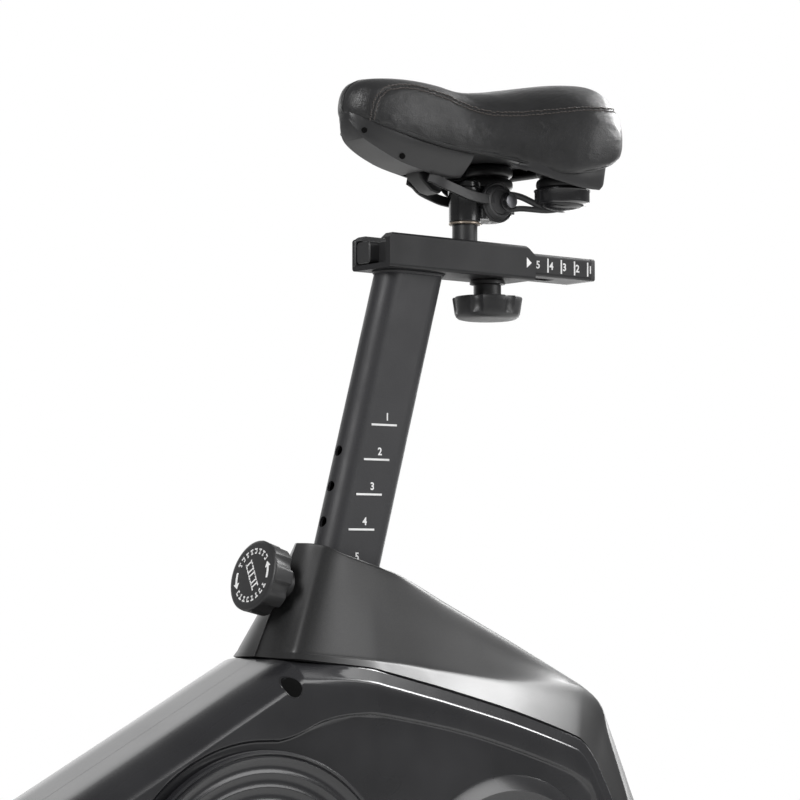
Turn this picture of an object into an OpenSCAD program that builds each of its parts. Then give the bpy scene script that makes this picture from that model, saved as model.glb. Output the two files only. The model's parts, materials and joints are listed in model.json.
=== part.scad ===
// Upright exercise bike with a belt drive, a magnetic flywheel and a sprung saddle.
// +X is forward, +Y is the rider's left, +Z is up. The origin is on the floor,
// under the middle of the footprint. All sizes are in millimetres.

/* [Seat post] */
// Chord of the flat-oval seat post
post_w = 65; // [62:1:68]
// Thickness of the flat-oval seat post
post_t = 30; // [28:1:32]
// Rearward lean of the seat post, in degrees
lean = 15.4; // [12:0.1:18]
// Distance between height holes
hole_pitch = 31; // [29:0.5:32]
// Number of height holes
hole_count = 7; // [5:1:7]
// Length of the post below the sleeve
post_len = 405; // [390:1:410]

/* [Fore-aft slider] */
// Length of the sleeve on top of the post
sleeve_len = 165; // [160:1:170]
// Width of the sleeve
sleeve_w = 52; // [50:1:56]
// Height of the sleeve
sleeve_h = 30; // [29:1:32]
// Width of the slider tube
slider_w = 40; // [38:1:41]
// Height of the slider tube
slider_h = 20; // [19:1:21]
// Length of slider left bare behind the sleeve
slider_out = 75; // [70:1:80]
// Fore-aft travel, four steps of 17
slider_travel = 68; // [51:17:68]
// Radius of the round saddle shaft
shaft_r = 11.1; // [10:0.1:12.5]

/* [Saddle] */
// Width of the saddle at the back
saddle_w = 205; // [195:1:215]
// Length of the saddle
saddle_len = 272; // [265:1:280]

/* [Drive] */
// Height of the crank axle above the floor
crank_z = 290; // [285:1:295]
// Length of a crank arm between axle and pedal
crank_len = 165; // [160:5:170]
// Radius of the large belt pulley
pulley_r = 118; // [112:1:120]
// Radius of the small belt pulley
small_r = 29.5; // [28:0.5:31]
// Radius of the flywheel
flywheel_r = 105; // [100:1:107]
// Half width of the belt casing
casing_y = 62; // [61:1:64]

/* [Frame and bars] */
// Height of the sleeve's underside above the floor
sleeve_z = 823; // [815:1:830]
// Half length of a stabiliser foot
stab_half = 260; // [240:5:280]
// Height of the mast's top above the floor
mast_top = 1048; // [1046:1:1052]
// Radius of the handlebar tube
bar_r = 12.7; // [11:0.1:14]

/* [Hidden] */
$fn = 64;
hull_fn = 32;
left = 1;
right = -1;

// Seat group, along X
sleeve_front_x = -80;
sleeve_back_x = sleeve_front_x - sleeve_len;
slider_back_x = sleeve_back_x - slider_out;
slider_front_x = sleeve_front_x - 19;
slider_z = sleeve_z + (sleeve_h - slider_h) / 2;
shaft_x = sleeve_front_x - 105;
clamp_x = sleeve_front_x - 131;
post_top_x = sleeve_front_x - 41.6;
slide_gap = 0.4;
slider_wall = 2;
saddle_tilt_x = shaft_x - 34.5;
saddle_tilt_z = sleeve_z + 63;
spring_x = shaft_x - 70;
spring_y = 50;
spring_z = saddle_tilt_z - 6;

// Seat post and guide tube, measured down the post from the sleeve's underside
post_wall = 2.5;
hole_r = 4.65;
first_hole = 170.5;
pin_t = first_hole + 4 * hole_pitch;
rim_t = 262;
tube_top_t = 268;
tube_end_t = 545;
bush_end_t = 400;
tube_w = post_w + 11;
tube_t = post_t + 11;
tube_wall = 3;
pin_r = 4.4;
knob_back = 65.5;
knob_face = 90;
knob_r = 30;

// Drive line
crank_x = 79;
flywheel_x = -181;
flywheel_z = 273;
axle_r = 10;
wheel_shaft_r = 8;
run_gap = 0.05;
belt_y = -42;
belt_w = 8;
plate_in = 20.6;
plate_out = 25.6;

// Frame
beam_w = 40;
beam_h = 60;
stab_z = 42;
stab_r = 30;
beam_z = stab_z + stab_r - 3;
beam_top = beam_z + beam_h;
front_x = 465;
rear_x = -490;
mast_x = 408;
mast_lean = 4.55;
mast_r = 30;
bar_x = 480;
bar_z = 1065;
bar_screw_x = bar_x - 47;
console_x = bar_x - 5.5;
cap_len = 62;
foot_y = 225;
wheel_x = 484;
wheel_y = 236;
wheel_z = 32;
wheel_r = 25;
front_tube_half = 212;
casing_floor = 148;
wall = 3;

// A rectangle with round corners, on exact arcs
module round_rect(w, h, r) {
    square([w - 2 * r, h], center = true);
    square([w, h - 2 * r], center = true);
    for (i = [-1, 1], j = [-1, 1])
        translate([i * (w / 2 - r), j * (h / 2 - r)]) circle(r);
}

// A flat oval, w long and t thick
module flat_oval(w, t) {
    square([w - t, t], center = true);
    for (i = [-1, 1]) translate([i * (w - t) / 2, 0]) circle(d = t);
}

// Turns an X-Y outline into a bar along X, from x0 to x1
module along_x(x0, x1) {
    translate([x0, 0, 0]) rotate([90, 0, 90]) linear_extrude(x1 - x0) children();
}

// Turns an X-Z outline into a plate from y0 to y1
module along_y(y0, y1) {
    translate([0, y1, 0]) rotate([90, 0, 0]) linear_extrude(y1 - y0) children();
}

// A cylinder along Y from y0 to y1
module rod_y(x, z, r, y0, y1) {
    translate([x, y1, z]) rotate([90, 0, 0]) cylinder(r = r, h = y1 - y0);
}

// Round bar through a list of points, with a slightly proud bead at each bend
module bent_bar(points, r) {
    for (i = [0 : len(points) - 2]) {
        a = points[i];
        b = points[i + 1];
        d = b - a;
        run = norm([d.x, d.y]);
        translate(a) rotate([0, atan2(run, d.z), atan2(d.y, d.x)]) cylinder(r = r, h = norm(d));
        if (i > 0) translate(a) sphere(r + 0.3);
    }
}

// The seat post's own frame: z runs up the post, x points out of its front
module post_frame() {
    translate([post_top_x, 0, sleeve_z]) rotate([0, -lean, 0]) children();
}

// Bar of a flat-oval section along the post, from t1 (lower) up to t0
module post_bar(t0, t1, w, t) {
    post_frame() translate([0, 0, -t1]) linear_extrude(t1 - t0) flat_oval(w, t);
}

// A cylinder along the pull pin's axis, from x0 to x1
module pin_bar(r, x0, x1, t = pin_t) {
    post_frame() translate([x0, 0, -t]) rotate([0, 90, 0]) cylinder(r = r, h = x1 - x0);
}

// ---- Frame ----

module stabiliser_bolt_holes(r) {
    for (x = [front_x - 13, front_x + 13, rear_x - 13, rear_x + 13])
        translate([x, 0, 2]) cylinder(r = r, h = beam_top + 10);
}

module main_beam() {
    color("#1c1c1e") difference() {
        translate([0, 0, beam_z + beam_h / 2]) along_x(rear_x - 28, front_x + 28)
            round_rect(beam_w, beam_h, 6);
        translate([0, 0, beam_z + beam_h / 2]) along_x(rear_x - 24, front_x + 24)
            round_rect(beam_w - 2 * wall, beam_h - 2 * wall, 3);
        stabiliser_bolt_holes(4.3);
    }
}

module seat_tube() {
    color("#1c1c1e") difference() {
        post_bar(tube_top_t, tube_end_t, tube_w, tube_t);
        post_bar(tube_top_t - 1, tube_end_t + 1, tube_w - 2 * tube_wall, tube_t - 2 * tube_wall);
        pin_bar(pin_r + 0.6, 20, 60);
    }
}

module seat_tube_bush() {
    color("#2a2a2c") difference() {
        union() {
            post_bar(rim_t, tube_top_t, tube_w + 2, tube_t + 2);
            post_bar(tube_top_t, bush_end_t, tube_w - 2 * tube_wall - 0.2, tube_t - 2 * tube_wall - 0.2);
        }
        post_bar(rim_t - 1, bush_end_t + 1, post_w + 0.7, post_t + 0.7);
        pin_bar(pin_r + 0.6, 20, 60);
    }
}

module pin_collar() {
    color("#3a3a3c") difference() {
        pin_bar(11, 30, 57);
        post_bar(tube_top_t, tube_end_t, tube_w + 0.1, tube_t + 0.1);
        pin_bar(pin_r + run_gap, 20, 60);
    }
}

module bb_plates() {
    outline = [[-10, beam_z + 6], [112, beam_z + 6], [112, beam_top + 10], [104, crank_z + 10],
               [90, crank_z + 34], [50, crank_z + 62], [-25, crank_z + 62], [-22, crank_z - 10]];
    color("#1c1c1e") for (side = [-1, 1]) difference() {
        along_y(side > 0 ? plate_in : -plate_out, side > 0 ? plate_out : -plate_in) polygon(outline);
        rod_y(crank_x, crank_z, 20.05, -60, 60);
    }
}

module bb_shell() {
    color("#1c1c1e") difference() {
        rod_y(crank_x, crank_z, 20, -34, 34);
        rod_y(crank_x, crank_z, 16, -40, 40);
        post_bar(tube_end_t - 60, tube_end_t, tube_w + 0.1, tube_t + 0.1);
    }
}

module bearing(x, z, r_out, r_in, y0, y1) {
    difference() {
        rod_y(x, z, r_out, y0, y1);
        rod_y(x, z, r_in, y0 - 1, y1 + 1);
    }
}

module bearings() {
    color("silver") for (side = [-1, 1]) {
        bearing(crank_x, crank_z, 15.98, axle_r + run_gap, side * 27 - 6, side * 27 + 6);
        bearing(flywheel_x, flywheel_z, 13.98, wheel_shaft_r + run_gap, side * 23.1 - 3, side * 23.1 + 3);
    }
}

module flywheel_plates() {
    outline = [[flywheel_x - 38, beam_z + 6], [flywheel_x + 60, beam_z + 6], [flywheel_x + 60, 200],
               [flywheel_x + 95, 372], [flywheel_x + 75, 372], [flywheel_x + 20, flywheel_z + 20],
               [flywheel_x - 22, flywheel_z + 20], [flywheel_x - 30, 200]];
    color("#1c1c1e") for (side = [-1, 1]) difference() {
        along_y(side > 0 ? plate_in : -plate_out, side > 0 ? plate_out : -plate_in) polygon(outline);
        rod_y(flywheel_x, flywheel_z, 14, -60, 60);
        rod_y(flywheel_x + 86, flywheel_z + 86, 4 + run_gap, -60, 60);
    }
}

// Round bar along the mast's axis, between two distances from the beam
module mast_bar(r, low, high) {
    translate([mast_x, 0, beam_top]) rotate([0, mast_lean, 0])
        translate([0, 0, low]) cylinder(r = r, h = high - low);
}

module mast() {
    color("#1c1c1e") difference() {
        mast_bar(mast_r, -20, mast_top - beam_top + 20);
        mast_bar(mast_r - wall, -25, mast_top - beam_top - 10);
        translate([0, -100, beam_top - 100]) cube([700, 200, 100]);
        translate([0, -100, mast_top]) cube([700, 200, 100]);
        translate([bar_x, 0, bar_z]) rod_y(0, 0, bar_r + 9, -60, 60);
    }
}

// Floor tube of the given half length, with a flat where the beam sits
module stabiliser(x, half) {
    color("#1c1c1e") difference() {
        rod_y(x, stab_z, stab_r, -half, half);
        rod_y(x, stab_z, stab_r - wall, -half - 1, half + 1);
        translate([x - 40, -beam_w / 2, beam_z]) cube([80, beam_w, 10]);
        stabiliser_bolt_holes(4.3);
        foot_holes();
    }
}

module foot_holes() {
    for (side = [-1, 1]) translate([rear_x, side * foot_y, -1]) cylinder(r = 5.2, h = 34);
}

module front_stabiliser() { stabiliser(front_x, front_tube_half); }

module rear_stabiliser() { stabiliser(rear_x, stab_half - 4); }

// Plastic end cap, closed outside, with its bottom cut flat
module end_cap(x, side, tube_half, flat_z) {
    y_in = stab_half - cap_len;
    difference() {
        rod_y(x, stab_z, 35, side > 0 ? y_in : -stab_half, side > 0 ? stab_half : -y_in);
        rod_y(x, stab_z, stab_r + 0.05, -tube_half, tube_half);
        translate([x - 60, -300, flat_z - 60]) cube([120, 600, 60]);
    }
}

module stabiliser_caps() {
    color("#141416") for (side = [-1, 1]) {
        difference() {
            union() {
                end_cap(front_x, side, front_tube_half, 7.5);
                translate([front_x - 22, side * 229 - 31, 0]) cube([44, 62, 9]);
            }
            rod_y(wheel_x, wheel_z, wheel_r + 2.5, side * wheel_y - 10.5, side * wheel_y + 10.5);
            rod_y(wheel_x, wheel_z, 4.02, side * wheel_y - 19, side * wheel_y + 19);
        }
        difference() {
            end_cap(rear_x, side, stab_half - 4, 9);
            foot_holes();
        }
    }
}

module wheel_axles() {
    color("silver") for (side = [-1, 1])
        rod_y(wheel_x, wheel_z, 4, side * wheel_y - 18.5, side * wheel_y + 18.5);
}

module stabiliser_bolts() {
    color("silver") for (x = [front_x - 13, front_x + 13, rear_x - 13, rear_x + 13])
        translate([x, 0, 0]) {
            translate([0, 0, 14]) cylinder(r = 4, h = beam_top - 14);
            translate([0, 0, beam_top]) intersection() {
                translate([0, 0, -6]) sphere(r = 12);
                cylinder(r = 10, h = 8);
            }
        }
}

// ---- Casing ----

// Gap between the side shells and the upper cover, from the front to the rear
gap_line = [[38, 494], [-32, 488], [-111, 469], [-185, 449], [-258, 425], [-282, 409],
            [-312, 365], [-327, 300], [-322, 235], [-290, 180], [-240, casing_floor]];
front_line = [[330, casing_floor], [375, 175], [398, 230], [400, 285], [392, 311]];
cover_line = [[-2, 590], [-91, 564], [-213, 515], [-271, 488], [-319, 462], [-345, 444],
              [-362, 410], [-388, 352], [-400, 300], [-394, 235], [-362, 180], [-310, casing_floor]];

module casing_outline() {
    polygon(concat(gap_line, front_line));
}

module cover_outline() {
    last = len(gap_line) - 1;
    polygon(concat(cover_line, [for (i = [last : -1 : 0]) gap_line[i]]));
}

// Windows for the frame plates, the seat tube and the belt drive's axle
module casing_windows() {
    translate([flywheel_x - 45, -50, casing_floor - 5]) cube([350, 100, 15]);
    post_bar(rim_t - 40, tube_end_t, tube_w + 3, tube_t + 3);
}

module casing_half(side) {
    inner = casing_y - wall;
    color("#222224") difference() {
        along_y(side > 0 ? 0.1 : -casing_y, side > 0 ? casing_y : -0.1) casing_outline();
        along_y(side > 0 ? -1 : -inner, side > 0 ? inner : 1) offset(delta = -wall) casing_outline();
        rod_y(crank_x, crank_z, 24, -100, 100);
        mast_bar(mast_r + 2, -20, 250);
        casing_windows();
    }
}

module casing_left() { casing_half(left); }

module casing_right() { casing_half(right); }

// The boot round the post and the spine behind it, one half
module cover_half(side) {
    half = 46;
    color("#2c2c30") difference() {
        along_y(side > 0 ? 0.1 : -half, side > 0 ? half : -0.1)
            offset(delta = -1) cover_outline();
        along_y(side > 0 ? -1 : -half + wall, side > 0 ? half - wall : 1)
            offset(delta = -1 - wall) cover_outline();
        post_bar(rim_t - 60, rim_t + 160, tube_w + 3.4, tube_t + 3.4);
        pin_bar(14, 30, 80);
    }
}

module cover_left() { cover_half(left); }

module cover_right() { cover_half(right); }

module casing_screws() {
    spots = [[300, 210], [330, 300], [46, 474], [180, 180], [-80, 190], [-270, 240], [-285, 330]];
    color("silver") for (p = spots, side = [-1, 1])
        rod_y(p.x, p.y, 4, side > 0 ? casing_y : -casing_y - 2, side > 0 ? casing_y + 2 : -casing_y);
}

// ---- Drive ----

module crank_axle() {
    color("silver") {
        rod_y(crank_x, crank_z, axle_r, -78, 78);
        for (side = [-1, 1]) rod_y(crank_x, crank_z, 8, side * 84 - 6, side * 84 + 6);
    }
}

module pulley() {
    color("#303032") difference() {
        union() {
            rod_y(crank_x, crank_z, pulley_r - 0.3, belt_y - belt_w / 2 - 0.5, belt_y + belt_w / 2 + 0.5);
            rod_y(crank_x, crank_z, 26, belt_y - 8, belt_y + 6);
        }
        rod_y(crank_x, crank_z, axle_r, -80, 0);
        for (a = [0 : 60 : 300])
            rod_y(crank_x + 72 * cos(a), crank_z + 72 * sin(a), 22, -80, 0);
    }
}

// Crank arms point forward on the left and rearward on the right
module crank(side) {
    y0 = side > 0 ? 78 : -92;
    color("#1a1a1c") difference() {
        union() {
            rod_y(crank_x, crank_z, 19, y0, y0 + 14);
            rod_y(crank_x + side * crank_len, crank_z, 14, y0, y0 + 14);
            along_y(y0, y0 + 14) translate([crank_x + side * crank_len / 2, crank_z])
                square([crank_len, 24], center = true);
        }
        rod_y(crank_x, crank_z, 8, -100, 100);
        rod_y(crank_x + side * crank_len, crank_z, 7 + run_gap, -100, 100);
    }
}

module crank_left() { crank(left); }

module crank_right() { crank(right); }

// Ringed disc between the casing and the crank
module crank_disc(side) {
    color("#242426") translate([crank_x, 0, crank_z]) rotate([side > 0 ? -90 : 90, 0, 0])
        translate([0, 0, casing_y + 1]) difference() {
            rotate_extrude() polygon([[axle_r + 0.1, 0], [136, 0], [138, 3], [134, 7], [121, 8],
                                      [119, 6], [112, 6], [108, 9], [40, 12], [axle_r + 0.1, 12]]);
        }
}

module disc_left() { crank_disc(left); }

module disc_right() { crank_disc(right); }

module pedal(side) {
    x = crank_x + side * crank_len;
    y0 = side > 0 ? 96 : -200;
    color("#161618") {
        rod_y(x, crank_z, 7, side > 0 ? 79 : -98, side > 0 ? 98 : -79);
        for (y = [y0, y0 + 96]) translate([x - 48, y, crank_z - 11]) cube([96, 8, 22]);
        for (dx = [-44, -25, 17, 36])
            translate([x + dx, y0 + 7, crank_z - 9]) cube([8, 90, 18]);
        rod_y(x, crank_z, 10, y0 + 7, y0 + 97);
    }
}

module pedal_left() { pedal(left); }

module pedal_right() { pedal(right); }

module flywheel() {
    color("#8a8a90") difference() {
        union() {
            difference() {
                rod_y(flywheel_x, flywheel_z, flywheel_r, -14, 14);
                rod_y(flywheel_x, flywheel_z, flywheel_r - 24, 5, 20);
                rod_y(flywheel_x, flywheel_z, flywheel_r - 24, -20, -5);
            }
            rod_y(flywheel_x, flywheel_z, 20, -16, 16);
        }
        rod_y(flywheel_x, flywheel_z, wheel_shaft_r, -30, 30);
    }
}

module flywheel_axle() {
    color("silver") {
        rod_y(flywheel_x, flywheel_z, wheel_shaft_r, -50, 34);
        rod_y(flywheel_x, flywheel_z, small_r - 0.3, belt_y - 4.5, belt_y + 4.5);
    }
}

module belt_loop(grow) {
    hull() {
        translate([crank_x, crank_z]) circle(pulley_r + grow, $fn = 96);
        translate([flywheel_x, flywheel_z]) circle(small_r + grow, $fn = 96);
    }
}

module belt() {
    color("#0e0e10") along_y(belt_y - belt_w / 2, belt_y + belt_w / 2) difference() {
        belt_loop(3);
        belt_loop(0);
    }
}

module brake_bracket() {
    pivot_x = flywheel_x + 86;
    pivot_z = flywheel_z + 86;
    color("#6a6a70") difference() {
        union() {
            intersection() {
                difference() {
                    rod_y(flywheel_x, flywheel_z, flywheel_r + 12, -17, 17);
                    rod_y(flywheel_x, flywheel_z, flywheel_r + 4, -20, 20);
                }
                along_y(-20, 20) polygon([[flywheel_x, flywheel_z], [flywheel_x - 90, flywheel_z + 160],
                                          [flywheel_x + 130, flywheel_z + 150]]);
            }
            rod_y(pivot_x, pivot_z, 8, -17, 17);
        }
        rod_y(flywheel_x, flywheel_z, flywheel_r + 4, -20, 20);
    }
    color("silver") rod_y(pivot_x, pivot_z, 4, -26, 26);
}

// ---- Handlebar and console ----

module handlebar() {
    half = [[bar_x, 95, bar_z], [455, 190, 1085], [340, 240, 1110], [215, 240, 1122]];
    last = len(half) - 1;
    color("#1c1c1e") bent_bar(concat([for (i = [last : -1 : 0]) [half[i].x, -half[i].y, half[i].z]], half), bar_r);
}

module grip(side) {
    a = [335, side * 240, 1110.5];
    b = [208, side * 240, 1122.7];
    d = b - a;
    color("#101012") translate(a) rotate([0, atan2(norm([d.x, d.y]), d.z), atan2(d.y, d.x)])
        difference() {
            cylinder(r = 17, h = norm(d));
            translate([0, 0, -1]) cylinder(r = bar_r + 0.02, h = norm(d) - 5);
        }
}

module grip_left() { grip(left); }

module grip_right() { grip(right); }

// Two-ear clamp on top of the mast, split towards the rear for the knob's screw
module bar_clamp() {
    color("#2a2a2c") difference() {
        union() {
            rod_y(bar_x, bar_z, bar_r + 9, -32, 32);
            translate([bar_screw_x - 12, -12, bar_z - 9]) cube([50, 24, 18]);
        }
        rod_y(bar_x, bar_z, bar_r + 0.08, -60, 60);
        translate([bar_x - 70, -40, bar_z - 1]) cube([70, 80, 2]);
        translate([bar_screw_x, 0, bar_z - 20]) cylinder(r = 4.1, h = 60);
    }
}

module bar_knob() {
    color("#161618") translate([bar_screw_x, 0, bar_z]) {
        translate([0, 0, -12]) cylinder(r = 4, h = 26);
        translate([0, 0, -9.3 - 13]) difference() {
            cylinder(r = 15, h = 13);
            for (a = [0 : 60 : 300]) translate([18 * cos(a), 18 * sin(a), -1]) cylinder(r = 4.5, h = 15);
        }
    }
}

// The console's own frame: its face points up and to the rear
module console_frame() {
    translate([console_x, 0, bar_z + 62]) rotate([0, -35, 0]) children();
}

module console() {
    color("#2a2a2e") {
        difference() {
            console_frame() rotate([0, 0, 90]) translate([0, 0, -14]) linear_extrude(28)
                round_rect(156, 104, 18);
            console_frame() translate([6, 0, 12]) rotate([0, 0, 90]) linear_extrude(5)
                round_rect(110, 56, 4);
            for (side = [-1, 1])
                console_frame() translate([-38, side * 22, 4]) cylinder(r = 9.2, h = 20);
            rod_y(bar_x, bar_z, bar_r + 9.3, -40, 40);
        }
        difference() {
            translate([bar_x - 10, -18, bar_z + 14]) cube([20, 36, 44]);
            rod_y(bar_x, bar_z, bar_r + 9, -40, 40);
            console_frame() translate([-80, -80, -14]) cube([160, 160, 60]);
        }
    }
}

module console_screen() {
    color("#9aa39a") console_frame() translate([6, 0, 12]) rotate([0, 0, 90]) linear_extrude(2)
        round_rect(110, 56, 4);
}

module console_button(side) {
    color("#c8c8cc") console_frame() translate([-38, side * 22, 7]) cylinder(r = 8.8, h = 10);
}

module button_up() { console_button(left); }

module button_down() { console_button(right); }

// ---- Feet and wheels ----

module foot(side) {
    color("#101012") translate([rear_x, side * foot_y, 0]) {
        cylinder(r = 20, h = 7);
        translate([0, 0, 7]) cylinder(r = 5, h = 21);
    }
}

module foot_left() { foot(left); }

module foot_right() { foot(right); }

module transport_wheel(side) {
    color("#202022") difference() {
        rod_y(wheel_x, wheel_z, wheel_r, side * wheel_y - 9, side * wheel_y + 9);
        rod_y(wheel_x, wheel_z, 4 + run_gap, side * wheel_y - 20, side * wheel_y + 20);
    }
}

module transport_wheel_left() { transport_wheel(left); }

module transport_wheel_right() { transport_wheel(right); }

// ---- Seat group ----

module seat_post() {
    color("#242428") difference() {
        post_bar(-20, post_len, post_w, post_t);
        post_bar(-21, post_len + 1, post_w - 2 * post_wall, post_t - 2 * post_wall);
        for (i = [0 : hole_count - 1]) pin_bar(hole_r, 10, 50, first_hole + i * hole_pitch);
        translate([post_top_x - 100, -100, sleeve_z]) cube([200, 200, 100]);
    }
}

module sleeve() {
    slot_w = 28;
    slot_back = shaft_x - shaft_r - 8;
    color("#242428") difference() {
        translate([0, 0, sleeve_z + sleeve_h / 2]) along_x(sleeve_back_x, sleeve_front_x)
            round_rect(sleeve_w, sleeve_h, 3);
        translate([0, 0, sleeve_z + sleeve_h / 2]) along_x(sleeve_back_x - 1, sleeve_front_x + 1)
            round_rect(slider_w + 2 * slide_gap, slider_h + 2 * slide_gap, 3.4);
        translate([slot_back, -slot_w / 2, sleeve_z + sleeve_h / 2]) cube([200, slot_w, 40]);
        translate([sleeve_back_x, -50, sleeve_z + sleeve_h - 8]) rotate([0, -38, 0])
            translate([-20, 0, 0]) cube([40, 100, 20]);
        translate([sleeve_front_x - 5, -50, sleeve_z + sleeve_h]) rotate([0, 40, 0]) cube([20, 100, 10]);
        translate([clamp_x, 0, sleeve_z - 1]) cylinder(r = 5.2, h = 10);
    }
}

module slider() {
    slot_front = clamp_x + 7;
    slot_back = clamp_x - slider_travel - 7;
    color("#242428") difference() {
        translate([0, 0, slider_z + slider_h / 2]) along_x(slider_back_x + 2, slider_front_x - 2)
            round_rect(slider_w, slider_h, 3);
        translate([0, 0, slider_z + slider_h / 2]) along_x(slider_back_x, slider_front_x)
            round_rect(slider_w - 2 * slider_wall, slider_h - 2 * slider_wall, 1.5);
        translate([slot_back, -5.5, slider_z - 2]) cube([slot_front - slot_back, 11, 6]);
    }
}

module slider_caps() {
    color("#101012") for (end = [[slider_back_x, 1], [slider_front_x, -1]])
        translate([end[0], 0, slider_z + slider_h / 2]) rotate([0, end[1] * 90, 0]) {
            linear_extrude(2) rotate([0, 0, 90]) round_rect(slider_w, slider_h, 3);
            translate([0, 0, 2]) linear_extrude(8) rotate([0, 0, 90])
                round_rect(slider_w - 2 * slider_wall - 0.1, slider_h - 2 * slider_wall - 0.1, 1.5);
        }
}

module seat_shaft() {
    color("#303034") translate([shaft_x, 0, slider_z + slider_h]) cylinder(r = shaft_r, h = 60);
}

module clamp_knob() {
    color("#161618") translate([clamp_x, 0, 0]) {
        translate([0, 0, slider_z + 2.3]) cylinder(r = 14, h = 4);
        translate([0, 0, 800]) cylinder(r = 5, h = slider_z + 3 - 800);
        translate([0, 0, 807]) cylinder(r = 12.2, h = sleeve_z - 0.5 - 807);
        translate([0, 0, 787]) difference() {
            cylinder(r1 = 29.5, r2 = 31, h = 20.5);
            for (a = [15 : 45 : 330]) translate([36 * cos(a), 36 * sin(a), -1]) cylinder(r = 7.5, h = 16);
        }
    }
}

module saddle_clamp() {
    color("#3c3c40") difference() {
        union() {
            translate([shaft_x, 0, sleeve_z + 49]) cylinder(r = 15, h = 36);
            translate([saddle_tilt_x, -12, saddle_tilt_z - 13]) cube([30, 24, 26]);
            rod_y(saddle_tilt_x, saddle_tilt_z, 17, -15, 15);
        }
        translate([shaft_x, 0, sleeve_z]) cylinder(r = shaft_r + run_gap, h = 100);
        rod_y(saddle_tilt_x, saddle_tilt_z, 4 + run_gap, -60, 60);
    }
}

module clamp_bolt() {
    color("silver") {
        rod_y(saddle_tilt_x, saddle_tilt_z, 4, -27, 27);
        for (side = [-1, 1])
            translate([saddle_tilt_x, side * 24.5 + 3, saddle_tilt_z]) rotate([90, 0, 0])
                cylinder(r = 7.5, h = 6, $fn = 6);
    }
}

// Side discs of the tilt joint, the rails to the nose, and the cups under the springs
module saddle_frame() {
    disc_y = 18.4;
    color("#2c2c30") for (side = [-1, 1]) {
        difference() {
            rod_y(saddle_tilt_x, saddle_tilt_z, 18, side * disc_y - 3, side * disc_y + 3);
            rod_y(saddle_tilt_x, saddle_tilt_z, 4, -60, 60);
        }
        bent_bar([[-76, side * 13, 931], [-140, side * 18, 914],
                  [saddle_tilt_x, side * disc_y, saddle_tilt_z + 10],
                  [spring_x, side * spring_y, spring_z + 4]], 3);
        translate([spring_x, side * spring_y, spring_z]) cylinder(r1 = 15, r2 = 24, h = 9);
    }
}

module spring(side) {
    color("#101012") translate([spring_x, side * spring_y, spring_z + 9]) rotate_extrude() {
        translate([12, 8]) circle(r = 8);
        square([12, 32]);
        translate([12, 24]) circle(r = 8);
    }
}

module spring_left() { spring(left); }

module spring_right() { spring(right); }

// Pressed base of the saddle, with a keel under the nose
module saddle_pan() {
    keel = [[-70, 928], [-100, 912], [-128, 893], [-152, 886], [-163, 890], [-166, 928]];
    color("#151517") {
        translate([0, 0, spring_z + 41]) linear_extrude(14) saddle_plan(12.5);
        along_y(-14, -11) polygon(keel);
        along_y(11, 14) polygon(keel);
    }
}

// Saddle seen from above, shrunk by the given inset
module saddle_plan(inset) {
    nose_x = sleeve_front_x + 34;
    hull() {
        translate([nose_x - 32, 0]) circle(30 - inset, $fn = hull_fn);
        translate([nose_x - saddle_len + 100, 0]) circle(64 - inset, $fn = hull_fn);
    }
    hull() for (side = [-1, 1])
        translate([nose_x - saddle_len + 50, side * (saddle_w / 2 - 50)]) circle(50 - inset, $fn = hull_fn);
}

// Padded cover, hollow below so that its skirt hangs round the base
module saddle_cushion() {
    side_view = [[-46, 951], [-56, 976], [-90, 988], [-150, 985], [-195, 988], [-255, 1004],
                 [-290, 1003], [-312, 990], [-320, 965], [-318, 945], [-300, 930], [-262, 917],
                 [-235, 908], [-150, 925], [-100, 935]];
    color("#38383a") difference() {
        intersection() {
            translate([0, 0, spring_z + 20]) linear_extrude(140) saddle_plan(0);
            along_y(-150, 150) polygon(side_view);
        }
        translate([0, 0, spring_z]) linear_extrude(55.3) saddle_plan(12);
    }
}

module pull_pin() {
    color("silver") pin_bar(pin_r, post_w / 2 + 0.5, 78);
}

module pull_knob() {
    color("#161618") difference() {
        pin_bar(knob_r, knob_back, knob_face);
        pin_bar(pin_r + run_gap, knob_back - 1, 78.2);
        post_frame() translate([0, 0, -pin_t]) rotate([0, 90, 0]) for (a = [0 : 60 : 300])
            translate([37 * cos(a), 37 * sin(a), knob_back - 1]) cylinder(r = 10, h = 16);
    }
}

main_beam();
seat_tube();
seat_tube_bush();
pin_collar();
bb_plates();
bb_shell();
bearings();
flywheel_plates();
mast();
front_stabiliser();
rear_stabiliser();
stabiliser_caps();
wheel_axles();
stabiliser_bolts();
casing_left();
casing_right();
cover_left();
cover_right();
casing_screws();
belt();
console();
console_screen();
bar_clamp();
foot_left();
foot_right();
transport_wheel_left();
transport_wheel_right();
crank_axle();
pulley();
crank_left();
crank_right();
disc_left();
disc_right();
pedal_left();
pedal_right();
flywheel();
flywheel_axle();
brake_bracket();
handlebar();
grip_left();
grip_right();
bar_knob();
button_up();
button_down();
seat_post();
sleeve();
pull_pin();
pull_knob();
slider();
slider_caps();
seat_shaft();
clamp_knob();
saddle_clamp();
clamp_bolt();
saddle_frame();
spring_left();
spring_right();
saddle_pan();
saddle_cushion();
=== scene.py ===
"""Looks for the exercise bike: materials, saddle, shells, knobs, scale marks and studio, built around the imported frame.

Lengths in this file are in millimetres until a mesh is made.
"""

import json
import math

import bmesh
import bpy
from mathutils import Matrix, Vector
from mathutils.bvhtree import BVHTree
from mathutils.kdtree import KDTree


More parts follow.
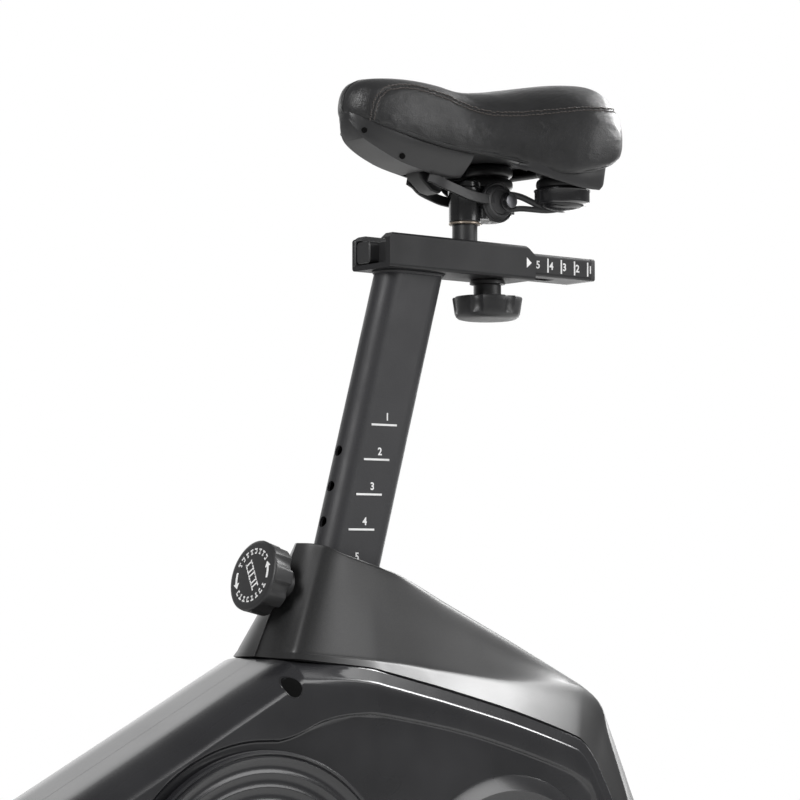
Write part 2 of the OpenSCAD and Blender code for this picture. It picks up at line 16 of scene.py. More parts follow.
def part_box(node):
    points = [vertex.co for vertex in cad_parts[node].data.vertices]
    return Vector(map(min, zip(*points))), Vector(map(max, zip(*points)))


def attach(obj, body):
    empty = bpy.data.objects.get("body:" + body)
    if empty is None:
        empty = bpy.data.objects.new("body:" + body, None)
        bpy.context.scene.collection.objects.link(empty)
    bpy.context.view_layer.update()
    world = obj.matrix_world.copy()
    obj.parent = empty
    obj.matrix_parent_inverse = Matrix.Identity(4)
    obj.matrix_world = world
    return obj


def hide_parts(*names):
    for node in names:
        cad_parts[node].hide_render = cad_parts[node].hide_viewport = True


MM = 0.001
SIDES = {"left": 1, "right": -1}

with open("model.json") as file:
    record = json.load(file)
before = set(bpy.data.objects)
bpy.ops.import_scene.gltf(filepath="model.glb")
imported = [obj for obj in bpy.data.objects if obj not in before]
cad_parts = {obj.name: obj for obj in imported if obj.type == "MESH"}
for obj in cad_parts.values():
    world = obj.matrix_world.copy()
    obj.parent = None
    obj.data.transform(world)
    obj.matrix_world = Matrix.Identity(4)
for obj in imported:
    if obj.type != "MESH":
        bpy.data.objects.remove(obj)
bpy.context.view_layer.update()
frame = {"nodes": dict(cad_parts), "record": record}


def box_mm(node):
    """Lowest and highest corner of a CAD node, in millimetres."""
    low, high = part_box(node)
    return Vector(low) / MM, Vector(high) / MM


def middle(node):
    low, high = box_mm(node)
    return (low + high) / 2


SLEEVE_LOW, SLEEVE_HIGH = box_mm("sleeve")
CRANK = middle("crank_axle")
FLYWHEEL = middle("flywheel")
NOSE_X = box_mm("saddle_cushion")[1].x
LEAN = math.radians(15.4)


# ---------------------------------------------------------------- camera, light and floor

VIEW_YAW = math.radians(38.97)
VIEW_PITCH = math.radians(3.82)
VIEW_DISTANCE = 2.215
VIEW_TARGET = Vector((-0.1039, 0.0098, 0.7118))
LENS_MM = 117.0


def add_camera():
    level = math.cos(VIEW_PITCH)
    look = Vector((-math.sin(VIEW_YAW) * level, -math.cos(VIEW_YAW) * level, math.sin(VIEW_PITCH)))
    data = bpy.data.cameras.new("camera")
    data.lens = LENS_MM
    data.sensor_width = 36.0
    camera = bpy.data.objects.new("camera", data)
    camera.location = VIEW_TARGET - look * VIEW_DISTANCE
    camera.rotation_mode = "QUATERNION"
    camera.rotation_quaternion = look.to_track_quat("-Z", "Y")
    bpy.context.scene.collection.objects.link(camera)
    bpy.context.scene.camera = camera


def add_area_light(name, location, aim, size, power):
    data = bpy.data.lights.new(name, "AREA")
    data.shape = "RECTANGLE"
    data.size, data.size_y = size
    data.energy = power
    light = bpy.data.objects.new(name, data)
    light.location = location
    light.rotation_mode = "QUATERNION"
    light.rotation_quaternion = (Vector(aim) - Vector(location)).to_track_quat("-Z", "Y")
    bpy.context.scene.collection.objects.link(light)


def add_studio():
    """White surroundings to the camera, dimmer for everything else, and five soft boxes round the bike."""
    world = bpy.data.worlds.new("studio")
    world.use_nodes = True
    nodes, links = world.node_tree.nodes, world.node_tree.links
    nodes.clear()
    out = nodes.new("ShaderNodeOutputWorld")
    background = nodes.new("ShaderNodeBackground")
    path = nodes.new("ShaderNodeLightPath")
    level = nodes.new("ShaderNodeMapRange")
    level.inputs["To Min"].default_value = 0.26
    level.inputs["To Max"].default_value = 1.0
    links.new(path.outputs["Is Camera Ray"], level.inputs["Value"])
    links.new(level.outputs["Result"], background.inputs["Strength"])
    background.inputs["Color"].default_value = (1, 1, 1, 1)
    links.new(background.outputs[0], out.inputs[0])
    bpy.context.scene.world = world
    bpy.context.scene.view_settings.view_transform = "Standard"
    add_area_light("rear_high", (-2.0, -0.1, 1.85), (-0.2, 0.0, 0.5), (1.1, 0.7), 55)
    add_area_light("far_side", (-0.7, -2.1, 1.3), (-0.1, 0.0, 0.6), (2.6, 1.6), 17)
    add_area_light("front_high", (1.7, 0.75, 1.8), (-0.1, 0.0, 0.6), (0.5, 0.9), 32)
    add_area_light("rear_low", (-2.2, -1.3, 0.45), (-0.3, 0.0, 0.4), (1.0, 0.8), 9)
    add_area_light("near_side", (-1.4, 2.1, 1.6), (-0.1, 0.0, 0.6), (1.3, 1.2), 24)


def add_floor():
    bpy.ops.mesh.primitive_circle_add(vertices=128, radius=2.6, fill_type="NGON", location=(0, 0, -0.0005))
    floor = bpy.context.object
    floor.name = "floor"
    floor.data.materials.append(MATERIALS["floor"])


# ---------------------------------------------------------------- materials


class Finish:
    """A Principled material whose colour, roughness and bump come from noise in the object's own space."""

    def __init__(self, name, metallic=0.0, coat=0.0, sheen=0.0, specular=0.5):
        self.material = bpy.data.materials.new(name)
        self.material.use_nodes = True
        self.nodes = self.material.node_tree.nodes
        self.links = self.material.node_tree.links
        self.shader = self.nodes["Principled BSDF"]
        self.shader.inputs["Metallic"].default_value = metallic
        self.shader.inputs["Coat Weight"].default_value = coat
        self.shader.inputs["Coat Roughness"].default_value = 0.1
        self.shader.inputs["Sheen Weight"].default_value = sheen
        self.shader.inputs["Specular IOR Level"].default_value = specular
        self.where = self.nodes.new("ShaderNodeTexCoord").outputs["Object"]
        self.normal = None

    def stretched(self, scale):
        mapping = self.nodes.new("ShaderNodeMapping")
        mapping.inputs["Scale"].default_value = scale
        self.links.new(self.where, mapping.inputs["Vector"])
        return mapping.outputs["Vector"]

    def noise(self, scale, detail=3.0, vector=None):
        node = self.nodes.new("ShaderNodeTexNoise")
        node.inputs["Scale"].default_value = scale
        node.inputs["Detail"].default_value = detail
        self.links.new(vector or self.where, node.inputs["Vector"])
        return node.outputs["Fac"]

    def cells(self, scale):
        node = self.nodes.new("ShaderNodeTexVoronoi")
        node.feature = "DISTANCE_TO_EDGE"
        node.inputs["Scale"].default_value = scale
        self.links.new(self.where, node.inputs["Vector"])
        return self.ranged(node.outputs["Distance"], 0.0, 0.25, 0.0, 1.0)

    def ranged(self, source, low, high, to_low, to_high):
        node = self.nodes.new("ShaderNodeMapRange")
        node.inputs["From Min"].default_value = low
        node.inputs["From Max"].default_value = high
        node.inputs["To Min"].default_value = to_low
        node.inputs["To Max"].default_value = to_high
        self.links.new(source, node.inputs["Value"])
        return node.outputs["Result"]

    def colour(self, source, dark, light, low=0.3, high=0.7):
        node = self.nodes.new("ShaderNodeMix")
        node.data_type = "RGBA"
        node.inputs["A"].default_value = (*dark, 1)
        node.inputs["B"].default_value = (*light, 1)
        self.links.new(self.ranged(source, low, high, 0.0, 1.0), node.inputs["Factor"])
        self.links.new(node.outputs["Result"], self.shader.inputs["Base Color"])

    def roughness(self, source, smooth, rough, low=0.3, high=0.7):
        self.links.new(self.ranged(source, low, high, smooth, rough), self.shader.inputs["Roughness"])

    def bump(self, source, height, strength=1.0):
        """Adds one layer of relief, height in millimetres, on top of any layer before it."""
        node = self.nodes.new("ShaderNodeBump")
        node.inputs["Distance"].default_value = height * MM
        node.inputs["Strength"].default_value = strength
        self.links.new(source, node.inputs["Height"])
        if self.normal:
            self.links.new(self.normal, node.inputs["Normal"])
        self.normal = node.outputs["Normal"]
        self.links.new(self.normal, self.shader.inputs["Normal"])


def grained(name, colour, roughness, relief, grain, metallic=0.0, coat=0.0, sheen=0.0, specular=0.5, spread=0.06):
    """Fine even grain with slow variation of tone and gloss."""
    finish = Finish(name, metallic, coat, sheen, specular)
    cloud = finish.noise(16.0, 2.0)
    finish.colour(cloud, [c * 0.85 for c in colour], [c * 1.15 for c in colour])
    finish.roughness(cloud, max(0.03, roughness - spread), min(1.0, roughness + spread))
    finish.bump(finish.noise(grain, 2.0), relief)
    return finish.material


def speckled(name, speck, tones, split, gloss, roughness, reliefs=(), **look):
    """Paint or plastic in specks of two tones. speck and gloss are (scale, detail), a relief adds its height."""
    finish = Finish(name, **look)
    finish.colour(finish.noise(*speck), *tones, *split)
    finish.roughness(finish.noise(*gloss), *roughness)
    for scale, detail, height in reliefs:
        finish.bump(finish.noise(scale, detail), height)
    return finish.material


def leather():
    """Black leatherette: pebbled cells, fine creases and a soft sheen."""
    finish = Finish("leather", sheen=0.12, specular=0.45)
    finish.shader.inputs["Sheen Roughness"].default_value = 0.4
    cloud = finish.noise(22.0, 3.0)
    finish.colour(cloud, (0.012, 0.012, 0.0125), (0.024, 0.024, 0.025))
    finish.roughness(finish.noise(55.0, 3.0), 0.33, 0.47)
    finish.bump(finish.noise(30.0, 2.0), 1.6, 0.45)
    creases = finish.noise(75.0, 4.0, finish.stretched((1.0, 2.2, 1.6)))
    finish.bump(finish.ranged(creases, 0.35, 0.65, 0.0, 1.0), 0.35, 0.6)
    finish.bump(finish.cells(750.0), 0.09, 0.7)
    finish.bump(finish.noise(1900.0, 2.0), 0.05)
    return finish.material


def foam_grip():
    finish = Finish("foam_grip", sheen=0.1)
    cells = finish.cells(900.0)
    # The colour is darkest along the cell edges, where the bump sinks: painted shade in the pits between the foam
    # cells.
    finish.colour(cells, (0.006, 0.006, 0.006), (0.02, 0.02, 0.021), 0.0, 1.0)
    finish.roughness(finish.noise(60.0, 2.0), 0.75, 0.9)
    finish.bump(cells, 0.18)
    return finish.material


def turned_metal(name, colour, roughness):
    """Bare metal with fine turning lines round the Y axis."""
    finish = Finish(name, metallic=1.0)
    finish.colour(finish.noise(25.0, 3.0), [c * 0.8 for c in colour], colour)
    finish.roughness(finish.noise(140.0, 3.0), roughness - 0.08, roughness + 0.08)
    finish.bump(finish.noise(600.0, 2.0, finish.stretched((1.0, 7.0, 1.0))), 0.03)
    return finish.material


def screen_glass():
    finish = Finish("screen_glass", coat=1.0)
    segments = finish.noise(500.0, 1.0, finish.stretched((1.0, 0.05, 1.0)))
    finish.colour(segments, (0.26, 0.3, 0.26), (0.34, 0.38, 0.33))
    finish.roughness(finish.noise(20.0), 0.08, 0.14)
    return finish.material


MATERIALS = {
    "black_steel": speckled(
        "powder_coat", (2200.0, 2.0), ((0.017, 0.017, 0.019), (0.04, 0.04, 0.043)), (0.35, 0.68), (30.0, 2.0),
        (0.44, 0.56),
        [(1500.0, 2.0, 0.09), (260.0, 1.0, 0.05)], specular=0.42),
    # Darker, duller copy of the powder coat for the sleeve and slider: painted shade, because the same paint looks
    # darker there under this light.
    "shaded_powder_coat": speckled(
        "shaded_powder_coat", (2200.0, 2.0), ((0.008, 0.008, 0.009), (0.018, 0.018, 0.0195)), (0.35, 0.68), (30.0, 2.0),
        (0.42, 0.52), [(1500.0, 2.0, 0.06)], specular=0.35),
    "bright_steel": turned_metal("zinc", (0.55, 0.55, 0.57), 0.3),
    "bush": grained("bush_ring", (0.32, 0.27, 0.22), 0.35, 0.02, 900.0, metallic=0.6),
    "casing_plastic": grained("gloss_casing", (0.019, 0.019, 0.021), 0.24, 0.006, 1400.0, coat=0.15, spread=0.03),
    "satin_cover": speckled(
        "satin_cover", (2600.0, 1.0), ((0.012, 0.012, 0.0125), (0.03, 0.03, 0.0305)), (0.35, 0.65), (12.0, 2.0),
        (0.33, 0.4),
        [(2600.0, 1.0, 0.012)], metallic=0.08, specular=0.38),
    "black_plastic": grained("grained_plastic", (0.022, 0.022, 0.023), 0.42, 0.05, 1600.0),
    "gloss_black": grained("gloss_black", (0.01, 0.01, 0.011), 0.22, 0.02, 1200.0, coat=0.2),
    "rubber": speckled(
        "rubber", (40.0, 3.0), ((0.009, 0.009, 0.0095), (0.018, 0.018, 0.019)), (0.3, 0.7), (40.0, 3.0), (0.34, 0.5),
        [(900.0, 2.0, 0.05)], specular=0.4),
    "foam": foam_grip(),
    "hole": grained("hole_shadow", (0.003, 0.003, 0.003), 0.9, 0.02, 900.0, specular=0.1),
    "iron": turned_metal("turned_iron", (0.35, 0.35, 0.37), 0.36),
    "screen": screen_glass(),
    "button_grey": grained("button_plastic", (0.5, 0.5, 0.52), 0.45, 0.04, 1200.0),
    "cover_leather": leather(),
    "thread": grained("thread", (0.055, 0.045, 0.04), 0.5, 0.08, 2500.0, sheen=0.3),
    "print": grained("white_print", (0.8, 0.8, 0.8), 0.5, 0.02, 900.0, spread=0.05),
    "floor": speckled(
        "floor_paint", (4.0, 2.0), ((0.85, 0.85, 0.84), (0.87, 0.87, 0.86)), (0.3, 0.7), (4.0, 2.0), (0.66, 0.74)),
}


# ---------------------------------------------------------------- mesh helpers


def smooth_line(points, steps=8):
    """Catmull-Rom curve through the points, in any number of dimensions."""
    rows = [points[0], *points, points[-1]]
    out = []
    for a, b, c, d in zip(rows, rows[1:], rows[2:], rows[3:]):
        for i in range(steps):
            t = i / steps
            out.append(tuple(
                0.5 * (2 * q + (r - p) * t + (2 * p - 5 * q + 4 * r - s) * t**2 + (3 * q - p - 3 * r + s) * t**3)
                for p, q, r, s in zip(a, b, c, d)
            ))
    return [*out, tuple(points[-1])]


def even_steps(points, step):
    """Points at even steps along a line, each with its direction."""
    points = [Vector(p) for p in points]
    out, carry = [], 0.0
    for a, b in zip(points, points[1:]):
        length = (b - a).length
        place = carry
        while place < length:
            out.append((a.lerp(b, place / length), (b - a).normalized()))
            place += step
        carry = place - length
    return out


def make_piece(name, verts, faces, finish, body, slot, stands_for=(), crease=35):
    """A mesh object from points in millimetres, shaded smooth except at its sharp edges."""
    mesh = bpy.data.meshes.new(name)
    mesh.from_pydata([tuple(c * MM for c in v) for v in verts], [], faces)
    mesh.validate()
    work = bmesh.new()
    work.from_mesh(mesh)
    bmesh.ops.remove_doubles(work, verts=work.verts, dist=0.00001)
    bmesh.ops.recalc_face_normals(work, faces=work.faces)
    work.to_mesh(mesh)
    work.free()
    return finish_piece(name, mesh, finish, body, stands_for, crease)


def finish_piece(name, mesh, finish, body, stands_for=(), crease=35):
    mesh.materials.clear()
    mesh.materials.append(MATERIALS[finish])
    mesh.shade_smooth()
    mesh.set_sharp_from_angle(angle=math.radians(crease))
    piece = bpy.data.objects.new(name, mesh)
    bpy.context.scene.collection.objects.link(piece)
    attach(piece, body)
    if stands_for:
        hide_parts(*stands_for)
    return piece


def loft(rings, closed=True, caps=True):
    """Quads between rings of equal length. closed joins each ring's ends, caps fills the first and last."""
    count = len(rings[0])
    verts = [p for ring in rings for p in ring]
    faces = []
    span = count if closed else count - 1
    for row in range(len(rings) - 1):
        for i in range(span):
            a, b = row * count + i, row * count + (i + 1) % count
            faces.append((a, b, b + count, a + count))
    if caps:
        faces.append(tuple(range(count)))
        last = (len(rings) - 1) * count
        faces.append(tuple(reversed(range(last, last + count))))
    return verts, faces


def merged(*shapes):
    verts, faces = [], []
    for shape_verts, shape_faces in shapes:
        base = len(verts)
        verts += list(shape_verts)
        faces += [tuple(i + base for i in face) for face in shape_faces]
    return verts, faces


def lathe(profile, centre, axis, sides=64, radius_at=None):
    """Turns (radius, distance) pairs about an axis. radius_at may change the radius with the angle."""
    axis = Vector(axis).normalized()
    across = axis.orthogonal().normalized() if abs(axis.z) < 0.9 else Vector((1, 0, 0))
    up = axis.cross(across)
    rings = []
    for radius, distance in profile:
        ring = []
        for i in range(sides):
            angle = 2 * math.pi * i / sides
            r = radius_at(radius, distance, angle) if radius_at else radius
            ring.append(Vector(centre) + axis * distance + (across * math.cos(angle) + up * math.sin(angle)) * r)
        rings.append(ring)
    return loft(rings)


def headings(points):
    """Direction of travel at each point of a line."""
    return [(b - a).normalized() for a, b in zip([points[0], *points], [*points[1:], points[-1]])]


def sweep(points, radius, sides=12):
    """A tube along a line. radius is one number or one per point."""
    points = [Vector(p) for p in points]
    radii = radius if isinstance(radius, (list, tuple)) else [radius] * len(points)
    rings = []
    for p, ahead, size in zip(points, headings(points), radii):
        across = ahead.cross(Vector((0, 0, 1)))
        if across.length < 0.05:
            across = ahead.cross(Vector((0, 1, 0)))
        across.normalize()
        up = across.cross(ahead)
        rings.append([
            p + (across * math.cos(2 * math.pi * k / sides) + up * math.sin(2 * math.pi * k / sides)) * size
            for k in range(sides)
        ])
    return loft(rings)


def slab(outline, y_low, y_high):
    """A plate from an X-Z outline, between two Y planes."""
    return loft([[(x, y_low, z) for x, z in outline], [(x, y_high, z) for x, z in outline]])


def bevel(piece, width, segments=2, angle=35):
    modifier = piece.modifiers.new("edges", "BEVEL")
    modifier.width = width * MM
    modifier.segments = segments
    modifier.limit_method = "ANGLE"
    modifier.angle_limit = math.radians(angle)
    modifier.harden_normals = True


def thicken(piece, wall):
    """Gives an open shell a wall on its inner side."""
    modifier = piece.modifiers.new("wall", "SOLIDIFY")
    modifier.thickness = wall * MM
    modifier.offset = -1.0


def evaluated_mesh(piece):
    """The piece's mesh with its modifiers applied."""
    graph = bpy.context.evaluated_depsgraph_get()
    return bpy.data.meshes.new_from_object(piece.evaluated_get(graph))


def surface_of(mesh):
    return BVHTree.FromPolygons([v.co for v in mesh.vertices], [tuple(p.vertices) for p in mesh.polygons])


def mirror_y(points):
    return [(p[0], -p[1], p[2]) for p in points]


# ---------------------------------------------------------------- saddle

# Stations down the saddle: distance behind the nose, half width, and the heights of the
# top, of the side seam and of the lower edge above the sleeve's underside
SADDLE = [
    (0, 4, 141.5, 135, 129), (4, 12.5, 151.5, 143, 127.5), (10, 18.5, 158, 148, 125), (17, 23.5, 162, 151, 122.5),
    (34, 30, 165, 154, 117), (59, 33.5, 166.5, 156, 111), (86, 37, 165.5, 152, 106), (112, 42.5, 162, 144, 102.5),
    (135, 52, 163, 140, 101), (158, 66, 166, 140.5, 95), (186, 86, 172, 144.5, 88), (206, 95, 176, 147, 91.5),
    (227, 96, 178.5, 149, 97.5), (242, 91, 178.5, 150, 104), (255, 76, 175, 150, 110), (264, 54, 168, 147, 117),
    (271, 12, 154, 142, 131),
]
# The stitched seam's near half: distance behind the nose, half width, height
SADDLE_SEAM = [
    (17.5, 21, 123), (17.5, 22.5, 131), (20, 24, 141), (26, 25, 149), (37, 27, 154.5), (56, 29, 156.5), (86, 32, 152),
    (116, 39, 143), (133, 45, 139.5), (157, 58, 140.5), (188, 77, 144.5), (220, 86, 148.5), (242, 81, 150),
    (258, 62, 150), (267, 34, 148), (271, 0, 147),
]
RECESS_Z = 116
COVER_SHRINK = 1.2
HEM_SHARE = 0.93
HEM_STEPS = 70
HEM_SMOOTHING = 4


def seat_point(distance, y, height):
    return (NOSE_X - distance, y, SLEEVE_LOW.z + height)


def saddle_section(width, top, seam, low):
    """Near half of one cross-section, from the crown over the seam to the underside."""
    crown, side = top - seam, seam - low
    under = max(low + 3, min(RECESS_Z, top - 14))
    half = [
        (0, top), (0.3 * width, top - 0.03 * crown), (0.55 * width, top - 0.17 * crown),
        (0.74 * width, top - 0.5 * crown),
        (0.88 * width, seam), (0.96 * width, seam - 0.22 * side), (width, seam - 0.5 * side),
        (width, seam - 0.75 * side), (0.975 * width, low + 0.06 * side), (0.93 * width, low),
        (0.87 * width, low + 3), (0.8 * width, under), (0.4 * width, under), (0, under),
    ]
    return smooth_line(half, 3)


def saddle_rings():
    rings = []
    for distance, width, top, seam, low in smooth_line(SADDLE, 4):
        half = saddle_section(max(width - COVER_SHRINK, 1.0), top - COVER_SHRINK, seam, low - COVER_SHRINK)
        near = [seat_point(distance, y, z) for y, z in half]
        far = [seat_point(distance, -y, z) for y, z in half[-2:0:-1]]
        rings.append(near + far)
    return rings


def remesh(piece, voxel):
    modifier = piece.modifiers.new("voxels", "REMESH")
    modifier.mode = "VOXEL"
    modifier.voxel_size = voxel * MM
    mesh = evaluated_mesh(piece)
    piece.modifiers.clear()
    piece.data = mesh


def puff(piece, cap):
    """Inflates the cushion with a short cloth run; no point moves by more than cap."""
    scene = bpy.context.scene
    rest = [v.co.copy() for v in piece.data.vertices]
    floor_z = (SLEEVE_LOW.z + 100) * MM
    pinned = piece.vertex_groups.new(name="pinned")
    pinned.add([v.index for v in piece.data.vertices if v.normal.z < -0.2 or v.co.z < floor_z], 1.0, "REPLACE")
    cloth = piece.modifiers.new("cloth", "CLOTH")
    cloth.settings.quality = 5
    cloth.settings.mass = 0.3
    cloth.settings.use_pressure = True
    cloth.settings.uniform_pressure_force = 4.0
    cloth.settings.vertex_group_mass = "pinned"
    cloth.settings.effector_weights.gravity = 0.0
    scene.frame_start, scene.frame_end = 1, 20
    for step in range(1, 21):
        scene.frame_set(step)
    mesh = evaluated_mesh(piece)
    for vertex, start in zip(mesh.vertices, rest):
        move = vertex.co - start
        if move.length > cap * MM:
            vertex.co = start + move.normalized() * cap * MM
    piece.modifiers.clear()
    piece.vertex_groups.clear()
    piece.data = mesh
    scene.frame_set(1)


def press_line(mesh, path, depth, spread):
    """Sinks the surface along a path, so that a seam sits in its own channel."""
    tree = KDTree(len(path))
    for i, p in enumerate(path):
        tree.insert(Vector(p) * MM, i)
    tree.balance()
    for vertex in mesh.vertices:
        gap = tree.find(vertex.co)[2] / MM
        if gap < 3 * spread:
            vertex.co -= vertex.normal * depth * MM * math.exp(-((gap / spread) ** 2))


def on_surface(surface, point, lift=0.0):
    spot, normal, _, _ = surface.find_nearest(Vector(point) * MM)
    return spot / MM + normal * lift, normal


def stitches(surface, path, offset, pitch=3.5, length=2.5):
    """A row of raised thread stitches beside a seam, lying on the surface."""
    shapes = []
    for point, along in even_steps(path, pitch):
        spot, normal = on_surface(surface, point)
        across = normal.cross(along).normalized()
        spot, normal = on_surface(surface, spot + across * offset, 0.1)
        run = (along - normal * along.dot(normal)).normalized() * length / 2
        line = [spot - run - normal * 0.4, spot - run * 0.6 + normal * 0.35, spot + run * 0.6 + normal * 0.35,
                spot + run - normal * 0.4]
        shapes.append(sweep(line, 0.55, 8))
    return merged(*shapes)


def seam_path():
    near = [seat_point(*p) for p in SADDLE_SEAM]
    return smooth_line(near + mirror_y(near[-2::-1]), 8)


def nose_seam():
    crown = [(40, 162.5), (26, 161.5), (14, 158), (6, 152), (1.5, 145), (-0.5, 138), (0.5, 130)]
    return smooth_line([seat_point(d, 0, z) for d, z in crown], 6)


def hem_path():
    """Lower edge of the cover, once round the saddle."""
    first, last = SADDLE[0][0] + 2, SADDLE[-1][0] - 3
    distances = [first + (last - first) * k / HEM_STEPS for k in range(HEM_STEPS + 1)]
    edge = [(d, *saddle_at(d)) for d in distances]
    near = [seat_point(d, wide * HEM_SHARE - 1.2, low + 0.4) for d, wide, low in edge]
    return near + mirror_y(near)[::-1] + near[:1]


def build_saddle_cover():
    verts, faces = loft(saddle_rings())
    cover = make_piece("saddle_cover", verts, faces, "cover_leather", "saddle", "cover_leather", ["saddle_cushion"])
    remesh(cover, 4.0)
    smoother = cover.modifiers.new("relax", "SMOOTH")
    smoother.iterations = 4
    smoother.factor = 0.5
    mesh = evaluated_mesh(cover)
    cover.modifiers.clear()
    cover.data = mesh
    puff(cover, 3.0)
    finer = cover.modifiers.new("finer", "SUBSURF")
    finer.levels = finer.render_levels = 1
    mesh = evaluated_mesh(cover)
    cover.modifiers.clear()
    surface = surface_of(mesh)
    main = [on_surface(surface, p)[0] for p in seam_path()]
    front = [on_surface(surface, p)[0] for p in nose_seam()]
    press_line(mesh, main, 1.3, 1.8)
    press_line(mesh, front, 0.6, 1.6)
    mesh.materials.clear()
    mesh.materials.append(MATERIALS["cover_leather"])
    mesh.shade_smooth()
    cover.data = mesh
    surface = surface_of(mesh)
    rows = merged(*(stitches(surface, main, offset) for offset in (-2.1, 2.1)))
    make_piece("saddle_stitching", *rows, "thread", "saddle", "cover_leather")
    piping = [on_surface(surface, p, 0.1)[0] for p in front]
    make_piece("saddle_nose_seam", *sweep(piping, 0.7, 8), "cover_leather", "saddle", "cover_leather")
    edge = [on_surface(surface, p, -0.2)[0] for p in hem_path()]
    near_by, count = range(-HEM_SMOOTHING, HEM_SMOOTHING + 1), len(edge) - 1
    hem = [sum((edge[(i + k) % count] for k in near_by), Vector()) / len(near_by) for i in range(len(edge))]
    make_piece("saddle_hem", *sweep(hem, 1.7, 10), "cover_leather", "saddle", "cover_leather")


# Lower edge of the base under the nose: distance behind the nose, half width, height
NOSE_PAN = [(3, 5, 124), (6, 9, 117), (13, 14, 109), (29, 17, 100.5), (52, 17.5, 92), (78, 18, 86.8)]
NOSE_WALL = [(78, 18, 86.8), (90, 18.5, 84.8), (104, 19, 83), (116, 20, 84.5)]
# Skirt round the rear of the base: distance behind the nose, half width, top, bottom
SKIRT = [
    (152, 56, 100, 93), (160, 64, 98, 90), (175, 73, 98, 84.5), (195, 80, 100, 79), (210, 82, 103, 76.8),
    (222, 82, 106, 76.6),
    (229, 81, 108, 78), (233, 79, 110, 88), (237, 74, 112, 98), (243, 60, 113, 101), (250, 36, 113, 102),
    (252, 0, 113, 102),
]


def saddle_at(distance):
    """Half width and lower-edge height of the saddle at a distance behind the nose."""
    line = smooth_line(SADDLE, 6)
    for a, b in zip(line, line[1:]):
        if b[0] >= distance:
            t = (distance - a[0]) / max(b[0] - a[0], 1e-6)
            return a[1] + (b[1] - a[1]) * t, a[4] + (b[4] - a[4]) * t
    return line[-1][1], line[-1][4]


def hem_over(distance, half):
    """Half width and height of the cover's hem over a point of the base."""
    wide, low = saddle_at(distance)
    return max(wide * HEM_SHARE - 3.2, half + 0.4), low


def base_wall(distance, half, height):
    """Outer face of the base from the cover's hem down to the flange, near side."""
    hem, low = hem_over(distance, half)
    drop = low - height
    reach = hem - half
    wall = [
        (hem - 2.5, low + 8), (hem, low + 2.5), (hem - 0.06 * reach, low - 0.12 * drop),
        (half + 0.72 * reach, height + 0.62 * drop),
        (half + 0.34 * reach, height + 0.3 * drop), (half + 0.1 * reach + 0.5, height + 0.08 * drop + 1),
        (half - 0.6, height),
    ]
    return [seat_point(distance, y, z) for y, z in wall]


def build_saddle_base():
    """Moulded base: the nose panel with its flanges, the plate over the springs and the skirt round the back."""
    rings = []
    for distance, half, height in smooth_line(NOSE_PAN, 5):
        near = base_wall(distance, half, height)
        rings.append(near + mirror_y(near[::-1]))
    nose = loft(rings)
    walls = []
    for side in (1, -1):
        rings = []
        for distance, half, height in smooth_line(NOSE_WALL, 4):
            outer = base_wall(distance, half, height)
            inner = [(x, y - 2.6, z) for x, y, z in outer[1:]]
            rings.append([(x, side * y, z) for x, y, z in outer + inner[::-1]])
        walls.append(loft(rings))
    panel = make_piece("saddle_nose_base", *merged(nose, *walls), "black_plastic", "saddle", "black_plastic", crease=48)
    bevel(panel, 0.7, 3, 48)

    side_view = [(-153, 932), (-153, 897), (-149, 893), (-140, 895), (-127, 905), (-124, 912), (-124, 932)]
    bumper = slab(side_view, -9, 9)
    block = make_piece("saddle_nose_block", *bumper, "rubber", "saddle", "rubber")
    bevel(block, 1.6, 3)

    outline = [(80, 16), (112, 24), (135, 40), (158, 55), (186, 74), (206, 84), (227, 84), (240, 78), (250, 60),
               (257, 36), (259, 0)]
    near = smooth_line(outline, 4)
    loop = near + [(d, -y) for d, y in near[-2::-1]]
    plate = loft([[seat_point(d, y, 111.5) for d, y in loop], [seat_point(d, y, 115.5) for d, y in loop]])
    make_piece("saddle_base_plate", *plate, "black_plastic", "saddle", "black_plastic", ["saddle_pan"])

    stations = smooth_line(SKIRT, 4)
    full = [(d, y, t, b) for d, y, t, b in stations] + [(d, -y, t, b) for d, y, t, b in stations[-2::-1]]
    rings = []
    for d, y, top, bottom in full:
        profile = [(0, 1, top + 8), (0, 1, top), (0, 0.998, (top + bottom) / 2), (1, 0.985, bottom + 2.2),
                   (2, 0.965, bottom),
                   (5, 0.93, bottom + 0.8), (7, 0.9, bottom + 4)]
        rings.append([seat_point(d - ahead, y * share, z) for ahead, share, z in profile])
    band = loft(rings, closed=False, caps=False)
    skirt = make_piece("saddle_skirt", *band, "black_plastic", "saddle", "black_plastic", crease=55)
    thicken(skirt, 1.6)
    build_rivets()


def build_rivets():
    """Two rivet heads on each side of the nose panel."""
    rivets = []
    for distance, share in ((13, 0.42), (50, 0.2)):
        half, height = next((b[1], b[2]) for b in smooth_line(NOSE_PAN, 5) if b[0] >= distance)
        hem, low = hem_over(distance, half)
        y = half + (0.18 + 0.72 * share) * (hem - half)
        for side in (1, -1):
            centre = seat_point(distance, side * y, height + share * (low - height))
            head = [(0.3, 0.8), (2.0, 0.8), (2.5, 0.4), (2.6, -1.0), (0.3, -1.0)]
            rivets.append(lathe(head, centre, (0.25, side, -0.55), 20))
    make_piece("saddle_rivets", *merged(*rivets), "hole", "saddle", "black_plastic")


def build_springs():
    spring_left = middle("spring_left")
    low = box_mm("spring_left")[0].z
    bulge = [(16, 0)]
    for turn in range(4):
        base = turn * 11.3
        for k in range(9):
            angle = math.pi * k / 8
            bulge.append((18.0 + 5.0 * math.sin(angle) ** 0.7, 0.7 + base + 5.1 * (1 - math.cos(angle))))
    bulge.append((16, 45.8))
    for name, side in SIDES.items():
        centre = Vector((spring_left.x, side * spring_left.y, low - 0.4))
        stack = lathe(bulge, centre, (0, 0, 1), 48)
        make_piece(f"spring_stack_{name}", *stack, "rubber", "saddle", "rubber", [f"spring_{name}"])


